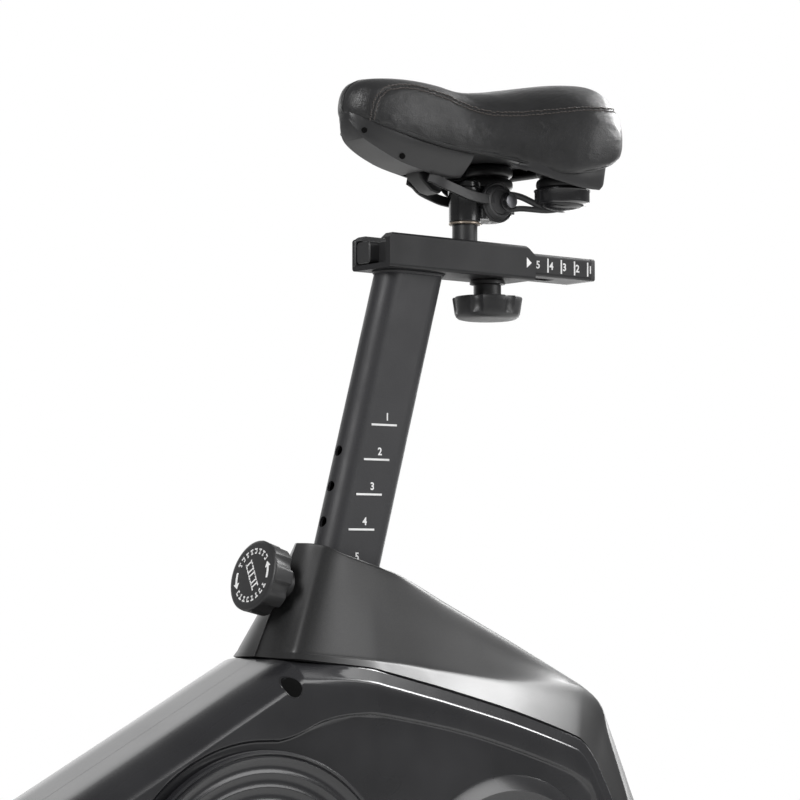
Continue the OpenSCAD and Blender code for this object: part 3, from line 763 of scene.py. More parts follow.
def strap(points, height, thickness):
    """A flat metal strap on edge along a line of points."""
    rings = []
    points = [Vector(p) for p in points]
    for p, ahead in zip(points, headings(points)):
        out = Vector((-ahead.y, ahead.x, 0))
        out = Vector((0, 1, 0)) if out.length < 0.01 else out.normalized()
        up = ahead.cross(out) * (1 if ahead.cross(out).z > 0 else -1)
        h, w = up * height / 2, out * thickness / 2
        rings.append([p + h * 0.86 + w, p + h + w * 0.3, p + h - w * 0.3, p + h * 0.86 - w, p - h * 0.86 - w,
                      p - h - w * 0.3,
                      p - h + w * 0.3, p - h * 0.86 + w])
    return loft(rings)


def build_saddle_frame():
    """Rail straps from the nose, the cheeks of the tilt joint and the arms to the spring seats."""
    tilt = middle("clamp_bolt") + Vector((2.5, 0, 5))
    cup = tilt + Vector((8, 0, -1))
    spring = middle("spring_left")
    spring_low = box_mm("spring_left")[0].z
    shapes = []
    for side in (1, -1):
        rail = smooth_line([
            (-132, side * 14, 906), (-140, side * 16, 903.5), (-149, side * 19, 899.5), (-161, side * 20, 896),
            (-176, side * 20, 892.5), (-193, side * 19.5, 891.5), (cup.x + 8, side * 19, cup.z + 3),
        ], 6)
        shapes.append(strap(rail, 9.0, 2.6))
        seat = (spring.x, side * spring.y)
        arm_a = smooth_line([(tilt.x - 2, side * 18.5, tilt.z + 7), (tilt.x - 10, side * 28, tilt.z + 4),
                             (seat[0] + 12, side * 40, spring_low - 3), (seat[0] - 2, side * 49, spring_low - 2.5)], 5)
        arm_b = smooth_line([(tilt.x + 2, side * 16, tilt.z - 9), (tilt.x - 9, side * 26, tilt.z - 6),
                             (seat[0] + 10, side * 40, spring_low - 5.5), (seat[0] - 4, side * 50, spring_low - 3.5)],
                             5)
        shapes += [sweep(arm_a, 2.9, 10), sweep(arm_b, 2.6, 10)]
        cheek = [(1, -6.2), (16.0, -6.2), (17.4, -5.2), (18.0, -1.0), (17.0, 0.2), (15.6, -0.4), (14.6, 0.8),
                 (13.4, 2.4), (11.6, 2.6),
                 (10.4, 1.6), (1, 1.6)]
        shapes.append(lathe(cheek, (cup.x, side * 18.4, cup.z), (0, side, 0), 56))
    make_piece("saddle_rails", *merged(*shapes), "black_plastic", "saddle", "black_steel", ["saddle_frame"])
    seats = []
    for side in (1, -1):
        centre = (spring.x, side * spring.y, spring_low - 7.2)
        dome = [(0.4, 0.1)] + [(19.5 * math.sin(math.radians(a)),
                                0.1 + 5.6 * (1 - math.cos(math.radians(a)))) for a in range(10, 91, 10)]
        seat = dome + [(20.6, 6.2), (22.8, 6.6), (24.0, 7.6), (24.3, 9.0), (24.3, 17.0), (25.0, 18.0), (24.8, 19.0),
                       (23.4, 19.0),
                       (22.6, 17.5), (22.6, 9.5), (0.4, 9.5)]
        seats.append(lathe(seat, centre, (0, 0, 1), 56))
    make_piece("spring_seats", *merged(*seats), "gloss_black", "saddle", "black_steel")
    bolts = []
    for side in (1, -1):
        head = [(0.4, 0), (7.6, 0), (8.0, 0.5), (8.0, 1.4), (7.4, 1.8)]
        bolts.append(lathe(head + [(0.4, 1.8)], (tilt.x, side * 20.0, tilt.z), (0, side, 0), 32))
        nut = [(6.3, 0), (6.3, 3.6), (5.6, 4.4), (3.6, 4.4), (3.2, 3.4), (0.3, 3.2)]
        bolts.append(lathe([(0.3, 0), *nut], (tilt.x, side * 22.0, tilt.z), (0, side, 0), 24))
    make_piece("tilt_bolt", *merged(*bolts), "gloss_black", "saddle", "bright_steel", ["clamp_bolt"])
    rings = [lathe([(5.0, 0), (6.0, 0.5), (6.0, 1.0), (5.0, 1.2)], (tilt.x, side * 25.6, tilt.z), (0, side, 0),
                   32) for side in (1, -1)]
    make_piece("tilt_bolt_washers", *merged(*rings), "iron", "saddle", "bright_steel")


def build_clamp():
    """Clamp round the seat shaft, with its pinch rib and hub."""
    shaft = middle("seat_shaft")
    low, high = box_mm("saddle_clamp")
    cup = middle("clamp_bolt") + Vector((10.5, 0, 4))
    base = low.z + 2.6
    tall = high.z - base
    tube = [(11.4, 0), (13.4, 0), (14.0, 0.7), (14.0, 22), (14.6, 23), (14.6, 30), (13.8, 31), (13.8, tall - 1),
            (12.8, tall), (11.4, tall)]
    body = lathe(tube, (shaft.x, 0, base), (0, 0, 1), 56)
    web = slab([(shaft.x - 6, base + 2), (cup.x + 4, cup.z - 14), (cup.x - 4, cup.z - 16), (cup.x - 4, cup.z + 13),
                (shaft.x - 6, high.z - 3)], -10, 10)
    hub = lathe([(2, -12), (14.6, -12), (15.6, -11), (15.6, 11), (14.6, 12), (2, 12)], (cup.x, 0, cup.z), (0, 1, 0), 56)
    rib = lathe([(0.4, 0), (5.0, 0), (5.6, 0.6), (5.6, 22), (4.8, 23), (0.4, 23)], (shaft.x - 12.5, 11, base + 3),
                (0, 0, 1), 24)
    piece = make_piece("clamp_body", *merged(body, web, hub, rib), "gloss_black", "saddle_clamp", "black_steel",
                       ["saddle_clamp"])
    bevel(piece, 0.6)
    ring = lathe([(11.3, 0), (13.6, 0), (14.1, 0.5), (14.1, 1.6), (13.6, 2.1), (11.3, 2.1)], (shaft.x, 0, base - 2.1),
                 (0, 0, 1), 48)
    make_piece("clamp_bush_ring", *ring, "bush", "saddle_clamp", "black_plastic")


# ---------------------------------------------------------------- post, sleeve and slider

POST_TOP = Vector((SLEEVE_HIGH.x - 41.6, 0, SLEEVE_LOW.z))
POST_UP = Vector((-math.sin(LEAN), 0, math.cos(LEAN)))
POST_OUT = Vector((math.cos(LEAN), 0, math.sin(LEAN)))
POST_HALF_T = 15.0
FIRST_MARK = 139
MARK_PITCH = 30.6
PRINT_THICKNESS = 0.15


def on_post(down, out, y=0.0):
    """A point down the post from the sleeve's underside, out towards its front."""
    return POST_TOP - POST_UP * down + POST_OUT * out + Vector((0, y, 0))


def print_patch(corners):
    """A thin printed patch from the corners of one flat face, given as seen from +Y."""
    front = [Vector(c) + Vector((0, PRINT_THICKNESS, 0)) for c in corners]
    return loft([[Vector(c) for c in corners], front])


def tick(x, y, z, half, tall):
    """A printed bar of a scale, on a face that looks along +Y."""
    return print_patch([(x - half, y, z - tall), (x + half, y, z - tall), (x + half, y, z + tall),
                        (x - half, y, z + tall)])


def numeral(name, digit, centre, height, body):
    """A printed numeral on a face that looks along +Y."""
    data = bpy.data.curves.new(name, "FONT")
    data.body = digit
    data.size = height * MM / 0.72
    data.align_x, data.align_y = "CENTER", "CENTER"
    data.extrude = 0.00008
    data.offset = 0.00022
    letter = bpy.data.objects.new(name + "_text", data)
    bpy.context.scene.collection.objects.link(letter)
    mesh = evaluated_mesh(letter)
    bpy.data.objects.remove(letter)
    low = Vector([min(v.co[i] for v in mesh.vertices) for i in range(3)])
    high = Vector([max(v.co[i] for v in mesh.vertices) for i in range(3)])
    shift = (low + high) / 2
    for vertex in mesh.vertices:
        flat = vertex.co - shift
        vertex.co = Vector((centre[0] * MM - flat.x, centre[1] * MM + flat.z, centre[2] * MM + flat.y))
    return finish_piece(name, mesh, "print", body, crease=60)


def build_post_scale():
    ticks = []
    for k in range(5):
        down = FIRST_MARK + MARK_PITCH * k
        if k < 4:
            ticks.append(tick(*on_post(down, 2.2, POST_HALF_T - 0.02), 13.6, 0.85))
        spot = on_post(down - 7.6, 0.8, POST_HALF_T + 0.06)
        numeral(f"height_numeral_{k + 1}", str(k + 1), spot, 6.4, "seat_post")
    make_piece("height_scale_ticks", *merged(*ticks), "print", "seat_post", "button_grey")


def build_slider_scale():
    slider_low, slider_high = box_mm("slider")
    y = slider_high.y
    z = (slider_low.z + slider_high.z) / 2
    rear = SLEEVE_LOW.x
    ticks = []
    for k in range(4):
        x = rear - 20.2 - 16.1 * k
        ticks.append(tick(x, y - 0.02, z, 0.8, 6.3))
    for k, digit in enumerate("54321"):
        numeral(f"slide_numeral_{digit}", digit, (rear - 8.2 - 15.9 * k, y + 0.12, z), 6.8, "slider")
    make_piece("slide_scale_ticks", *merged(*ticks), "print", "slider", "button_grey")
    y = SLEEVE_HIGH.y
    arrow = print_patch([(rear + 10.4, y - 0.02, z - 4.6), (rear + 10.4, y - 0.02, z + 4.6), (rear + 4.6, y - 0.02, z)])
    make_piece("slide_scale_arrow", *arrow, "print", "seat_post", "button_grey")


def build_post_weld():
    """Weld bead round the post under the sleeve."""
    half_flat = 17.5 / math.cos(LEAN)
    count = 60
    line = []
    for i in range(count + 1):
        angle = 2 * math.pi * i / count
        out_x = math.copysign(half_flat, math.cos(angle)) if abs(math.cos(angle)) > 0.02 else 0
        line.append((POST_TOP.x + out_x + 15.5 * math.cos(angle), 15.5 * math.sin(angle), POST_TOP.z - 0.9))
    path = [p for p, _ in even_steps(line, 2.4)]
    radii = [1.9 + 0.35 * (i % 2) for i in range(len(path))]
    bead = sweep([*path, path[0]], [*radii, radii[0]], 10)
    make_piece("post_weld", *bead, "black_steel", "seat_post", "black_steel")


def build_slider_caps():
    """End plugs of the slider; the front one has a raised stop tab on its far half."""
    low, high = box_mm("slider")
    front, rear = box_mm("slider_caps")[1].x, box_mm("slider_caps")[0].x

    def rounded(x, y0, y1, z0, z1, r):
        corners = ((y1 - r, z1 - r, 0), (y0 + r, z1 - r, 90), (y0 + r, z0 + r, 180), (y1 - r, z0 + r, 270))
        return [(x, cy + r * math.cos(math.radians(a + s)), cz + r * math.sin(math.radians(a + s)))
                for cy, cz, s in corners for a in range(0, 91, 18)]

    def plug(x_in, x_out, y0, y1, z0, z1, r):
        step = math.copysign(1.0, x_out - x_in)
        return loft([rounded(x_in, y0, y1, z0, z1, r), rounded(x_out - step, y0, y1, z0, z1, r),
                     rounded(x_out, y0 + 1, y1 - 1, z0 + 1, z1 - 1, max(r - 1, 0.4))])

    rear_plug = plug(rear + 2.2, rear - 3.4, -20, 20, low.z, high.z, 2.2)
    mouth = plug(front - 4, front + 9, -19.6, 19.6, low.z + 0.3, high.z - 0.3, 3)
    tab = plug(front + 2, SLEEVE_HIGH.x + 0.4, -19.7, -1.5, low.z + 0.5, high.z - 0.1, 4)
    make_piece("slider_plugs", *merged(rear_plug, mouth, tab), "black_plastic", "slider", "black_plastic",
               ["slider_caps"])
    lip = SLEEVE_HIGH.x
    side_trim = plug(lip - 0.2, lip + 1.0, -25.6, -20.7, SLEEVE_LOW.z + 4, SLEEVE_HIGH.z - 2.5, 2.2)
    make_piece("sleeve_mouth_trim", *side_trim, "black_plastic", "seat_post", "black_plastic")


# ---------------------------------------------------------------- knobs


def fluted(count, depth, width, shift, fade):
    """Radius rule for a knob with scooped flutes. fade gives each distance its share of the depth."""

    def rule(radius, distance, angle):
        turn = (angle + shift) * count / (2 * math.pi)
        away = abs(turn - round(turn)) * 2
        scoop = depth * max(0.0, 1 - (away / width) ** 2) ** 0.7 if away < width else 0.0
        return radius - scoop * fade(distance) * min(1.0, radius / 20)

    return rule


KNOB_DOWN = 294.5
KNOB_BACK = 65.5
KNOB_FACE = 90.0


def build_pull_knob():
    centre = on_post(KNOB_DOWN, KNOB_BACK)
    depth = KNOB_FACE - KNOB_BACK

    def fade(distance):
        return max(0.0, min(1.0, (depth - 2.2 - distance) / 2.5))

    profile = [(6, 3.4), (26.5, 3.4), (28.4, 4.2), (29.2, 5.4), (29.9, depth - 3.2), (30, depth - 2.4),
               (29.6, depth - 1.2),
               (28.6, depth - 0.4), (27.4, depth - 0.1), (26, depth), (6, depth), (0.4, depth)]
    knob = lathe(profile, centre, POST_OUT, 144, fluted(8, 3.4, 0.5, 0.3, fade))
    make_piece("height_knob", *knob, "black_plastic", "pull_knob", "black_plastic", ["pull_knob"])
    collar = lathe([(5, -9.5), (13.5, -9.5), (14.6, -8.6), (14.6, 3.0), (12.5, 3.7), (5, 3.7)], centre, POST_OUT, 48)
    make_piece("height_knob_collar", *collar, "black_plastic", "pull_pin", "black_plastic")
    build_knob_marks(centre + POST_OUT * depth)


def build_knob_marks(centre):
    """Two turning arrows, broken rings and a row of plain bars instead of wording."""
    across = Vector((0, 1, 0))
    up = POST_OUT.cross(across)

    def at(radius, angle, lift):
        return centre + (across * math.cos(angle) + up * math.sin(angle)) * radius + POST_OUT * lift

    def arc(radius, width, start, stop, steps=20):
        rings = []
        for i in range(steps + 1):
            angle = math.radians(start + (stop - start) * i / steps)
            rings.append([at(radius - width / 2, angle, -0.05), at(radius + width / 2, angle, -0.05),
                          at(radius + width / 2, angle, 0.15), at(radius - width / 2, angle, 0.15)])
        return loft(rings)

    def head(radius, size, start, stop):
        tip, base = math.radians(stop), math.radians(start)
        flat = [at(radius - size, base, 0), at(radius + size, base, 0), at(radius, tip, 0)]
        return loft([[p - POST_OUT * 0.05 for p in flat], [p + POST_OUT * 0.15 for p in flat]])

    shapes = []
    for turn in (0, 180):
        shapes.append(arc(20.5, 2.4, -5 + turn, 22 + turn, 8))
        shapes.append(head(20.5, 3.4, 22 + turn, 36 + turn))
        for k in range(8):
            start = 44 + turn + k * 15.5
            shapes.append(arc(22.2, 1.3, start, start + 9, 4))
            shapes.append(arc(18.8, 1.3, start + 1.5 * (k % 2), start + 7, 4))
            shapes.append(arc(20.5, 4.2, start + (3.2 if k % 3 else 0.2), start + (5.4 if k % 3 else 2.4), 2))
    slant = math.radians(-52)
    run = across * math.cos(slant) + up * math.sin(slant)
    rise = up * math.cos(slant) - across * math.sin(slant)
    for k in range(5):
        for low_end, high_end, wide in ((-4.2, 4.2, 0.7), (3.0, 4.2, 2.3), (-4.2, -3.0, 2.3)):
            spot = run * (k - 2) * 5.6 + (run * 0.8 * (1 if k % 2 else -1) if wide < 1 else Vector())
            corners = ((-wide, low_end), (wide, low_end), (wide, high_end), (-wide, high_end))
            bar = [centre + spot + run * dx + rise * dz for dx, dz in corners]
            shapes.append(loft([[p - POST_OUT * 0.05 for p in bar], [p + POST_OUT * 0.15 for p in bar]]))
    make_piece("height_knob_marks", *merged(*shapes), "print", "pull_knob", "button_grey")


KNOB_RIM_Z = 807.5


def build_clamp_knob():
    low = box_mm("clamp_knob")[0]
    axis = middle("clamp_knob")
    top = KNOB_RIM_Z - low.z

    def fade(distance):
        return max(0.0, min(1.0, (distance - 5.0) / 2.5))

    profile = [(0.4, 0), (14, 0.1), (22, 0.4), (25.5, 1.2), (27.6, 2.8), (28.8, 5.2), (29.4, 9), (30.3, 15),
               (30.9, top - 1.4),
               (30.4, top - 0.4), (29.2, top), (14, top - 0.6), (12.2, top - 0.4), (12.2, top + 10.5),
               (13.4, top + 11.2),
               (15.6, top + 11.4), (15.6, top + 14.2), (14.8, top + 14.9), (0.4, top + 14.9)]
    rule = fluted(6, 2.6, 0.36, 0.5, fade)

    def only_rim(radius, distance, angle):
        return rule(radius, distance, angle) if radius > 20 else radius

    knob = lathe(profile, (axis.x, 0, low.z), (0, 0, 1), 144, only_rim)
    make_piece("slide_knob", *knob, "black_plastic", "clamp_knob", "black_plastic", ["clamp_knob"])


# ---------------------------------------------------------------- casing


# Stations of the upper cover, from the boot's front round to the bottom of the rear wall. Each has the seam
# (X and Z from the crank axle, half width), the crown (X, Z, half width), the share of the height where the
# flare ends, and the half widths at the flare's end and at the shoulder
COVER = [
    (-39, 206, 0.1, -81, 299.5, 0.1, 0.06, 0.1, 0.1), (-39.4, 205.5, 20, -86, 299.3, 9, 0.06, 18.2, 9.3),
    (-43.4, 205, 35, -92, 298.4, 16, 0.06, 32.6, 16.4), (-51, 204.6, 45, -98, 296.2, 21.5, 0.06, 41.8, 22),
    (-76, 201.5, 52, -110, 290.5, 26, 0.065, 48.2, 26.5), (-114, 197, 56, -132, 284, 26.5, 0.08, 50.6, 27),
    (-134, 192.5, 57, -152, 278.5, 26, 0.11, 49.8, 26.6), (-152, 188.2, 57.5, -172, 273.5, 20, 0.14, 48.6, 25),
    (-172, 183.2, 57.8, -196, 264.5, 8, 0.17, 47.2, 23), (-193, 178, 58, -226, 251, 0.1, 0.21, 45, 21.5),
    (-268, 157.5, 58, -303, 216, 0.1, 0.42, 36.5, 20), (-335, 135.5, 57, -366, 186.5, 0.1, 0.82, 24.5, 18),
    (-352, 127, 56, -391, 174, 0.1, 0.9, 22.5, 18), (-364, 114, 55, -410, 160, 0.1, 0.85, 25, 18),
    (-373.5, 98, 54, -421, 139, 0.1, 0.7, 30, 18), (-388, 70, 53, -447, 80, 0.1, 0.55, 37, 19),
    (-405, 10, 52, -477, 8, 0.1, 0.5, 38, 20), (-401, -55, 52, -472, -58, 0.1, 0.5, 38, 20),
    (-369, -110, 52, -441, -112, 0.1, 0.5, 38, 20), (-319, -142, 52, -389, -142, 0.1, 0.5, 38, 20),
]
FRONT_LINE = [(251, -142), (280, -132), (304, -104), (318, -62), (322, -20), (319, 2), (312, 16), (298, 30)]


def outline_of_shell():
    """Side shell's outline, X and Z from the crank axle: along the seam, down the back, forward and up the front."""
    rear = smooth_line([(-39, 205)] + [row[:2] for row in COVER[4:]], 4)
    front = smooth_line(FRONT_LINE, 4)
    return rear + front + [(x, 205 - 0.5185 * (x + 39)) for x in (270, 180, 90, 0)]


def inset(outline, distance):
    """Moves a closed outline inwards by an even distance."""
    count = len(outline)
    area = sum(a[0] * b[1] - b[0] * a[1] for a, b in zip(outline, [*outline[1:], outline[0]]))
    turn = 1 if area > 0 else -1
    out = []
    for i in range(count):
        p, q, r = Vector(outline[i - 1]), Vector(outline[i]), Vector(outline[(i + 1) % count])
        a, b = (q - p).normalized(), (r - q).normalized()
        na, nb = Vector((-a.y, a.x)) * turn, Vector((-b.y, b.x)) * turn
        mean = (na + nb).normalized() if (na + nb).length > 1e-6 else na
        reach = distance / max(0.45, mean.dot(na))
        out.append(tuple(q + mean * reach))
    return out


def case_ring(outline, y):
    return [(CRANK.x + x, y, CRANK.z + z) for x, z in outline]


MAST_R = 30
MAST_NOTCH_R = 32.5
MAST_LEAN = math.tan(math.radians(4.55))


def round_mast(ring):
    """Pulls a ring of the shell back to the notch that clears the mast."""
    low = box_mm("mast")[0]
    out = []
    for x, y, z in ring:
        reach = MAST_NOTCH_R**2 - y**2
        if reach > 0:
            x = min(x, low.x + MAST_R + (z - low.z) * MAST_LEAN - math.sqrt(reach))
        out.append((x, y, z))
    return out


# Upper edge of the flat recessed panel, X and Z from the crank axle
PANEL_EDGE = [(-19, 144), (-30, 146), (-43, 150), (-59, 156.5), (-78, 160.5), (-101, 162), (-128, 160), (-216, 142),
              (-302, 116), (-345, 98),
              (-362, 76), (-377, 10), (-374, -46), (-346, -90), (-306, -113)]
DISC_RECESS_R = 144.5
PANEL_FLOOR = -113


def panel_outline():
    """Recessed panel: its upper and rear edge, the bottom, and round the crank disc."""
    edge = smooth_line(PANEL_EDGE, 4)
    turns = [math.radians(a) for a in range(-126, 96, 3)]
    disc = [(DISC_RECESS_R * math.cos(a), DISC_RECESS_R * math.sin(a)) for a in turns]
    return edge + [(-200, PANEL_FLOOR)] + [(x, max(z, PANEL_FLOOR)) for x, z in disc]


def fill_between(outer, inner, y):
    """Triangles of the flat area between two outlines at one Y."""
    work = bmesh.new()
    edges = []
    for loop in (outer, inner):
        if not loop:
            continue
        verts = [work.verts.new((x, y, z)) for x, _, z in loop]
        edges += [work.edges.new((verts[i], verts[(i + 1) % len(verts)])) for i in range(len(verts))]
    bmesh.ops.triangle_fill(work, edges=edges, use_beauty=True, normal=(0, 1, 0))
    work.verts.index_update()
    shape = [tuple(v.co) for v in work.verts], [tuple(v.index for v in f.verts) for f in work.faces]
    work.free()
    return shape


SHELL_Y = 61.9
PANEL_Y = 59.2
# The step down into the panel: inset and half width
PANEL_STEPS = [(1.0, 61.5), (2.6, 59.6), (4.2, PANEL_Y)]
# Rings of the side shell: inset and half width along the front strip, then along the seam under the cover
SHELL_RINGS = [
    (0, 0.15, 0, 0.15), (0, 8, 0, 10), (0, 16, 0, 22), (0, 23, 0, 34), (0.1, 28, 0.1, 46), (0.5, 32.4, 0.2, 55),
    (1.2, 38, 0.5, 56.6), (2.4, 43.5, 1.2, 57.3), (4.6, 49.5, 4.0, 57.9), (7.8, 54.9, 7.4, 58.7),
    (10.6, 58.0, 10.0, 59.3),
    (13.0, 59.9, 10.5, 60.0), (15.0, 61.0, 11.2, 61.0), (16.8, 61.6, 12.6, 61.6), (18.5, 61.9, 18.5, 61.9),
]


def shell_ring(outline, side, strip_inset, strip_y, seam_inset, seam_y):
    """A ring of the shell that changes from the strip's profile to the seam's behind the boot's front."""
    strip, seam = inset(outline, strip_inset), inset(outline, seam_inset)
    ring = []
    for start, a, b in zip(outline, strip, seam):
        share = max(0.0, min(1.0, (-36 - start[0]) / 62))
        share = share * share * (3 - 2 * share)
        x, z = a[0] + (b[0] - a[0]) * share, a[1] + (b[1] - a[1]) * share
        ring.append((CRANK.x + x, side * (strip_y + (seam_y - strip_y) * share), CRANK.z + z))
    return round_mast(ring)


def build_side_shell(name, side):
    """Gloss side shell: front strip, flared edge, bright crease, raised border and recessed flat panel."""
    outline = outline_of_shell()
    rings = [shell_ring(outline, side, *step) for step in SHELL_RINGS]
    panel = panel_outline()
    steps = [case_ring(inset(panel, step), side * y) for step, y in PANEL_STEPS]
    border = case_ring(panel, side * SHELL_Y)
    face = fill_between(rings[-1], border, side * SHELL_Y)
    well = fill_between(steps[-1], [], side * PANEL_Y)
    shape = merged(loft(rings, caps=False), face, loft([border, *steps], caps=False), well)
    shell = make_piece(f"side_shell_{name}", *shape, "casing_plastic", "frame", "casing_plastic", [f"casing_{name}"],
                       crease=32)
    shell.modifiers.new("normals", "WEIGHTED_NORMAL").keep_sharp = True


# The oval hole at the top of the shell and the screws, X and Z from the crank axle
SHELL_HOLE = (-32, 184)
SHELL_SCREWS = [(221, -80), (251, 10), (101, -110), (-159, -100), (-349, -50), (-364, 45)]
DISC_Y = 63.0
CAP_Y = 92


def shell_face(surface, side, x, z):
    """Distance of the side shell's outer face from the middle plane."""
    hit = surface.ray_cast(Vector((x * MM, side * 0.2, z * MM)), Vector((0, -side, 0)))[0]
    return side * hit.y / MM


def oval(surface, centre, side, ring):
    """Rings of a tilted oval on the side shell: (half length, distance out) pairs."""
    tilt = math.radians(38)
    rings = []
    for radius, out in ring:
        points = []
        for k in range(40):
            a = 2 * math.pi * k / 40
            u, v = radius * 1.08 * math.cos(a), radius * 0.86 * math.sin(a)
            x = centre[0] + u * math.cos(tilt) - v * math.sin(tilt)
            z = centre[1] + u * math.sin(tilt) + v * math.cos(tilt)
            points.append((x, side * (shell_face(surface, side, x, z) + out), z))
        rings.append(points)
    return loft(rings)


def build_shell_details():
    for name, side in SIDES.items():
        hole = (CRANK.x + SHELL_HOLE[0], CRANK.z + SHELL_HOLE[1])
        surface = surface_of(evaluated_mesh(bpy.data.objects[f"side_shell_{name}"]))
        rim = oval(surface, hole, side, [(8.2, -2), (9.2, 0.0), (8.9, 0.35), (8.3, 0.3), (8.0, -0.3), (7.8, -0.3)])
        # The hole is not cut: a near-black patch of painted shade, a little proud of the shell, stands for its shadowed
        # inside.
        well = oval(surface, hole, side, [(8.1, 0.1), (6.5, 0.35), (4.5, 0.42), (2.0, 0.45)])
        make_piece(f"shell_hole_rim_{name}", *rim, "gloss_black", "frame", "casing_plastic")
        make_piece(f"shell_hole_{name}", *well, "hole", "frame", "casing_plastic")
        screws = []
        for x, z in SHELL_SCREWS:
            head = [(0.4, 1.2), (1.6, 1.25), (1.9, 1.9), (3.6, 1.7), (4.6, 0.9), (4.9, -0.6), (0.4, -0.6)]
            screws.append(lathe(head, (CRANK.x + x, side * 61.6, CRANK.z + z), (0, side, 0), 24))
        stands_for = ["casing_screws"] if side > 0 else []
        make_piece(f"shell_screws_{name}", *merged(*screws), "gloss_black", "frame", "bright_steel", stands_for)
        boss = [(121, -3), (121, 0.2), (119.5, 1.2), (109.5, 5.6), (108, 6.0), (106, 5.4), (60, 3.2), (58, 2.0),
                (30, 1.6), (0.5, 1.6)]
        ring = lathe([(0.5, -3)] + boss, (FLYWHEEL.x, side * PANEL_Y, FLYWHEEL.z), (0, side, 0), 160)
        make_piece(f"flywheel_boss_{name}", *ring, "casing_plastic", "frame", "casing_plastic", crease=20)


def cover_section(row):
    """One cross-section of the cover: (half width, share of the height) from the seam to the crown."""
    gap_x, gap_z, seam, top_x, top_z, crown, share, flare, shoulder = row
    tall = math.hypot(top_x - gap_x, top_z - gap_z)
    edge = 1 - 4.5 / tall
    near, far = seam - flare, flare - shoulder
    half = [
        (seam, 0), (seam - 0.35 * near, 0.35 * share), (seam - 0.7 * near, 0.7 * share),
        (flare + 0.1 * near, 0.91 * share),
        (flare - 0.02 * far, share + 0.05 * (edge - share)), (flare - 0.3 * far, share + 0.32 * (edge - share)),
        (flare - 0.65 * far, share + 0.66 * (edge - share)), (shoulder + 0.06 * far, share + 0.95 * (edge - share)),
        (shoulder - 0.1 * (shoulder - crown), 1 - 2.4 / tall), (shoulder - 0.35 * (shoulder - crown),
                                                                1 - 0.7 / tall), (crown, 1),
    ]
    return smooth_line(half, 4)


def build_cover(name, side):
    """Half of the satin upper cover: boot round the post and spine down the back."""
    rings = []
    for row in smooth_line(COVER, 5):
        gap_x, gap_z, top_x, top_z = row[0], row[1] + 1.0, row[3], row[4]
        rings.append([
            (CRANK.x + gap_x + (top_x - gap_x) * rise, side * max(0.1, y), CRANK.z + gap_z + (top_z - gap_z) * rise)
            for y, rise in cover_section(row)
        ])
    cover = make_piece(f"upper_cover_{name}", *loft(rings, closed=False, caps=False), "satin_cover", "frame",
                       "casing_plastic",
                       [f"cover_{name}"], crease=60)
    thicken(cover, 2.4)
    bevel(cover, 0.5, 2, 50)


def build_cover_seam():
    """Dark joint between the two cover halves, down the boot's front."""
    front = [(-81.6, 299), (-60, 253), (-38.6, 207)]
    line = [(CRANK.x + x + 0.35, 0, CRANK.z + z) for x, z in smooth_line(front, 4)]
    make_piece("upper_cover_joint", *sweep(line, 0.55, 8), "rubber", "frame", "casing_plastic")


def build_crank_disc(name, side):
    rings = [(136, 0), (136, 3.4), (135.4, 5.6), (134, 6.4), (132.9, 5.6), (132.2, 4.6), (131.6, 5.2), (130.6, 5.9),
             (129.4, 5.0), (127.5, 3.6),
             (120, 3.2), (119, 3.9), (118, 4.1), (116.5, 3.3), (109, 3.1), (107.8, 3.7), (106.6, 3.7), (105.4, 3.0),
             (98, 2.9), (96.6, 3.5),
             (95.4, 2.9), (60, 4.4), (40, 7.0), (36, 10.5), (30, 11.6), (20, 11.8), (10.4, 11.8)]
    disc = lathe([(10.4, 0), *rings], (CRANK.x, side * DISC_Y, CRANK.z), (0, side, 0), 160)
    make_piece(f"crank_disc_{name}", *disc, "casing_plastic", "cranks", "casing_plastic", [f"disc_{name}"], crease=40)


def build_casing():
    for name, side in SIDES.items():
        build_side_shell(name, side)
        build_cover(name, side)
        build_crank_disc(name, side)
    build_shell_details()
    build_cover_seam()


# ---------------------------------------------------------------- grips, pedals and frame detail


GRIP_Y = 240


def build_grips():
    for name, side in SIDES.items():
        low, high = box_mm(f"grip_{name}")
        start = Vector((high.x - 2, side * GRIP_Y, low.z + 17.5))
        end = Vector((low.x + 2, side * GRIP_Y, high.z - 17))
        axis = end - start
        length = axis.length
        profile = [(12.8, 0), (15.5, 0), (16.6, 1.2)]
        for k in range(1, 12):
            share = k / 12
            profile.append((16.3 + 0.55 * math.sin(share * math.pi * 5) ** 2, length * share))
        profile += [(16.8, length - 3), (15.2, length - 0.8), (9, length), (0.4, length)]
        grip = lathe(profile, start, axis, 48)
        piece = make_piece(f"foam_grip_{name}", *grip, "foam", "handlebar", "rubber", [f"grip_{name}"])


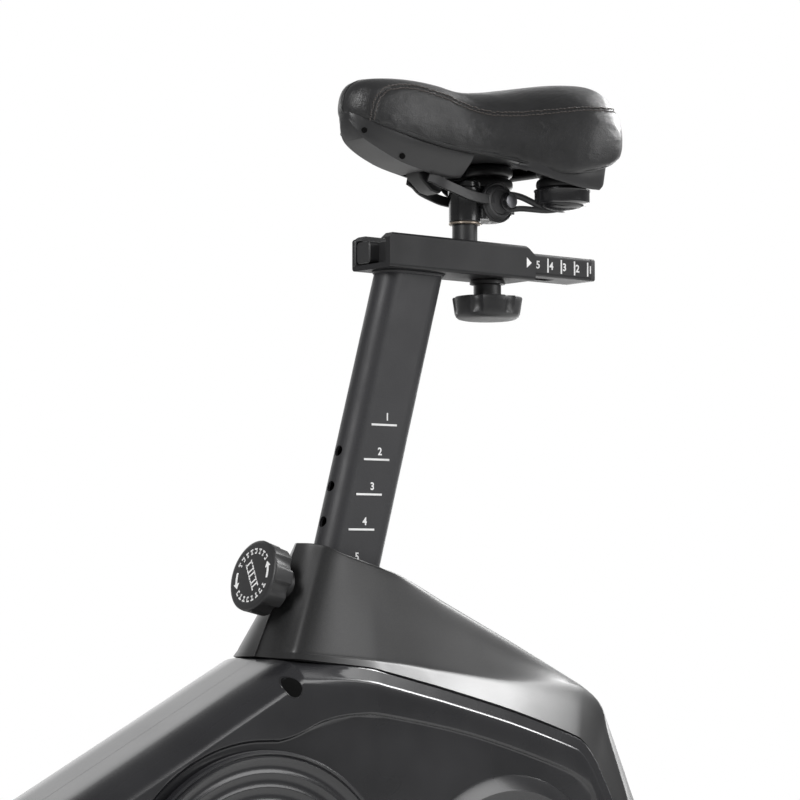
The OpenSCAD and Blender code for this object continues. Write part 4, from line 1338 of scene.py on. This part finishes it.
def build_pedal_straps():
    for name, side in SIDES.items():
        low, high = box_mm(f"pedal_{name}")
        centre = (low + high) / 2
        inner, outer = sorted((side * 104.5, side * 191.5))
        arch = [(centre.x + 8, inner, high.z - 4), (centre.x + 8, inner + 4, high.z + 20),
                (centre.x + 8, inner + 22, high.z + 40),
                (centre.x + 8, outer - 22, high.z + 40), (centre.x + 8, outer - 4, high.z + 20),
                (centre.x + 8, outer, high.z - 4)]
        line = [Vector(p) for p in smooth_line(arch, 8)]
        rings = []
        for p, ahead in zip(line, headings(line)):
            out = Vector((0, -ahead.z, ahead.y))
            wide, thick = Vector((11, 0, 0)), out * 1.8
            rings.append([p + wide, p + wide + thick, p - wide + thick, p - wide])
        piece = make_piece(f"pedal_strap_{name}", *loft(rings), "rubber", f"pedal_{name}", "rubber")
        bevel(piece, 0.5)


def build_crank_caps():
    """Covers over the two crank bolts."""
    dome = [(0.4, 3.6), (6, 3.4), (9, 2.6), (10.8, 1.2), (11.2, 0), (0.4, 0)]
    caps = [lathe(dome, (CRANK.x, side * CAP_Y, CRANK.z), (0, side, 0), 40) for side in (1, -1)]
    make_piece("crank_bolt_caps", *merged(*caps), "black_plastic", "cranks", "black_plastic")


def paint_nodes():
    """Gives every carried-over CAD node the finish of its kind, with a darker copy of the powder coat on the sleeve and
    slider as painted shade, and soft edges to the sharp ones.
    """
    slots = {part["node"]: part["material_slot"] for part in frame["record"]["subparts"]}
    # The sleeve and slider take the darker copy of the powder coat, which is painted shade.
    special = {"seat_shaft": "black_plastic", "bar_clamp": "black_plastic", "sleeve": "shaded_powder_coat",
               "slider": "shaded_powder_coat"}
    soft_edges = ("main_beam", "bb_plates", "flywheel_plates", "sleeve", "slider", "seat_post", "console",
                  "crank_left", "crank_right",
                  "pedal_left", "pedal_right", "stabiliser_caps", "bar_clamp", "brake_bracket", "seat_tube_bush",
                  "foot_left", "foot_right",
                  "button_up", "button_down", "transport_wheel_left", "transport_wheel_right", "bar_knob")
    for name, node in frame["nodes"].items():
        node.data.materials.clear()
        node.data.materials.append(MATERIALS[special.get(name, slots[name])])
        for face in node.data.polygons:
            face.material_index = 0
        if name in soft_edges:
            bevel(node, 0.9 if name in ("sleeve", "slider", "seat_post") else 1.2)


# ---------------------------------------------------------------- build

add_camera()
add_studio()
add_floor()
paint_nodes()
build_saddle_cover()
build_saddle_base()
build_springs()
build_saddle_frame()
build_clamp()
build_post_scale()
build_slider_scale()
build_post_weld()
build_slider_caps()
build_pull_knob()
build_clamp_knob()
build_casing()
build_grips()
build_pedal_straps()
build_crank_caps()
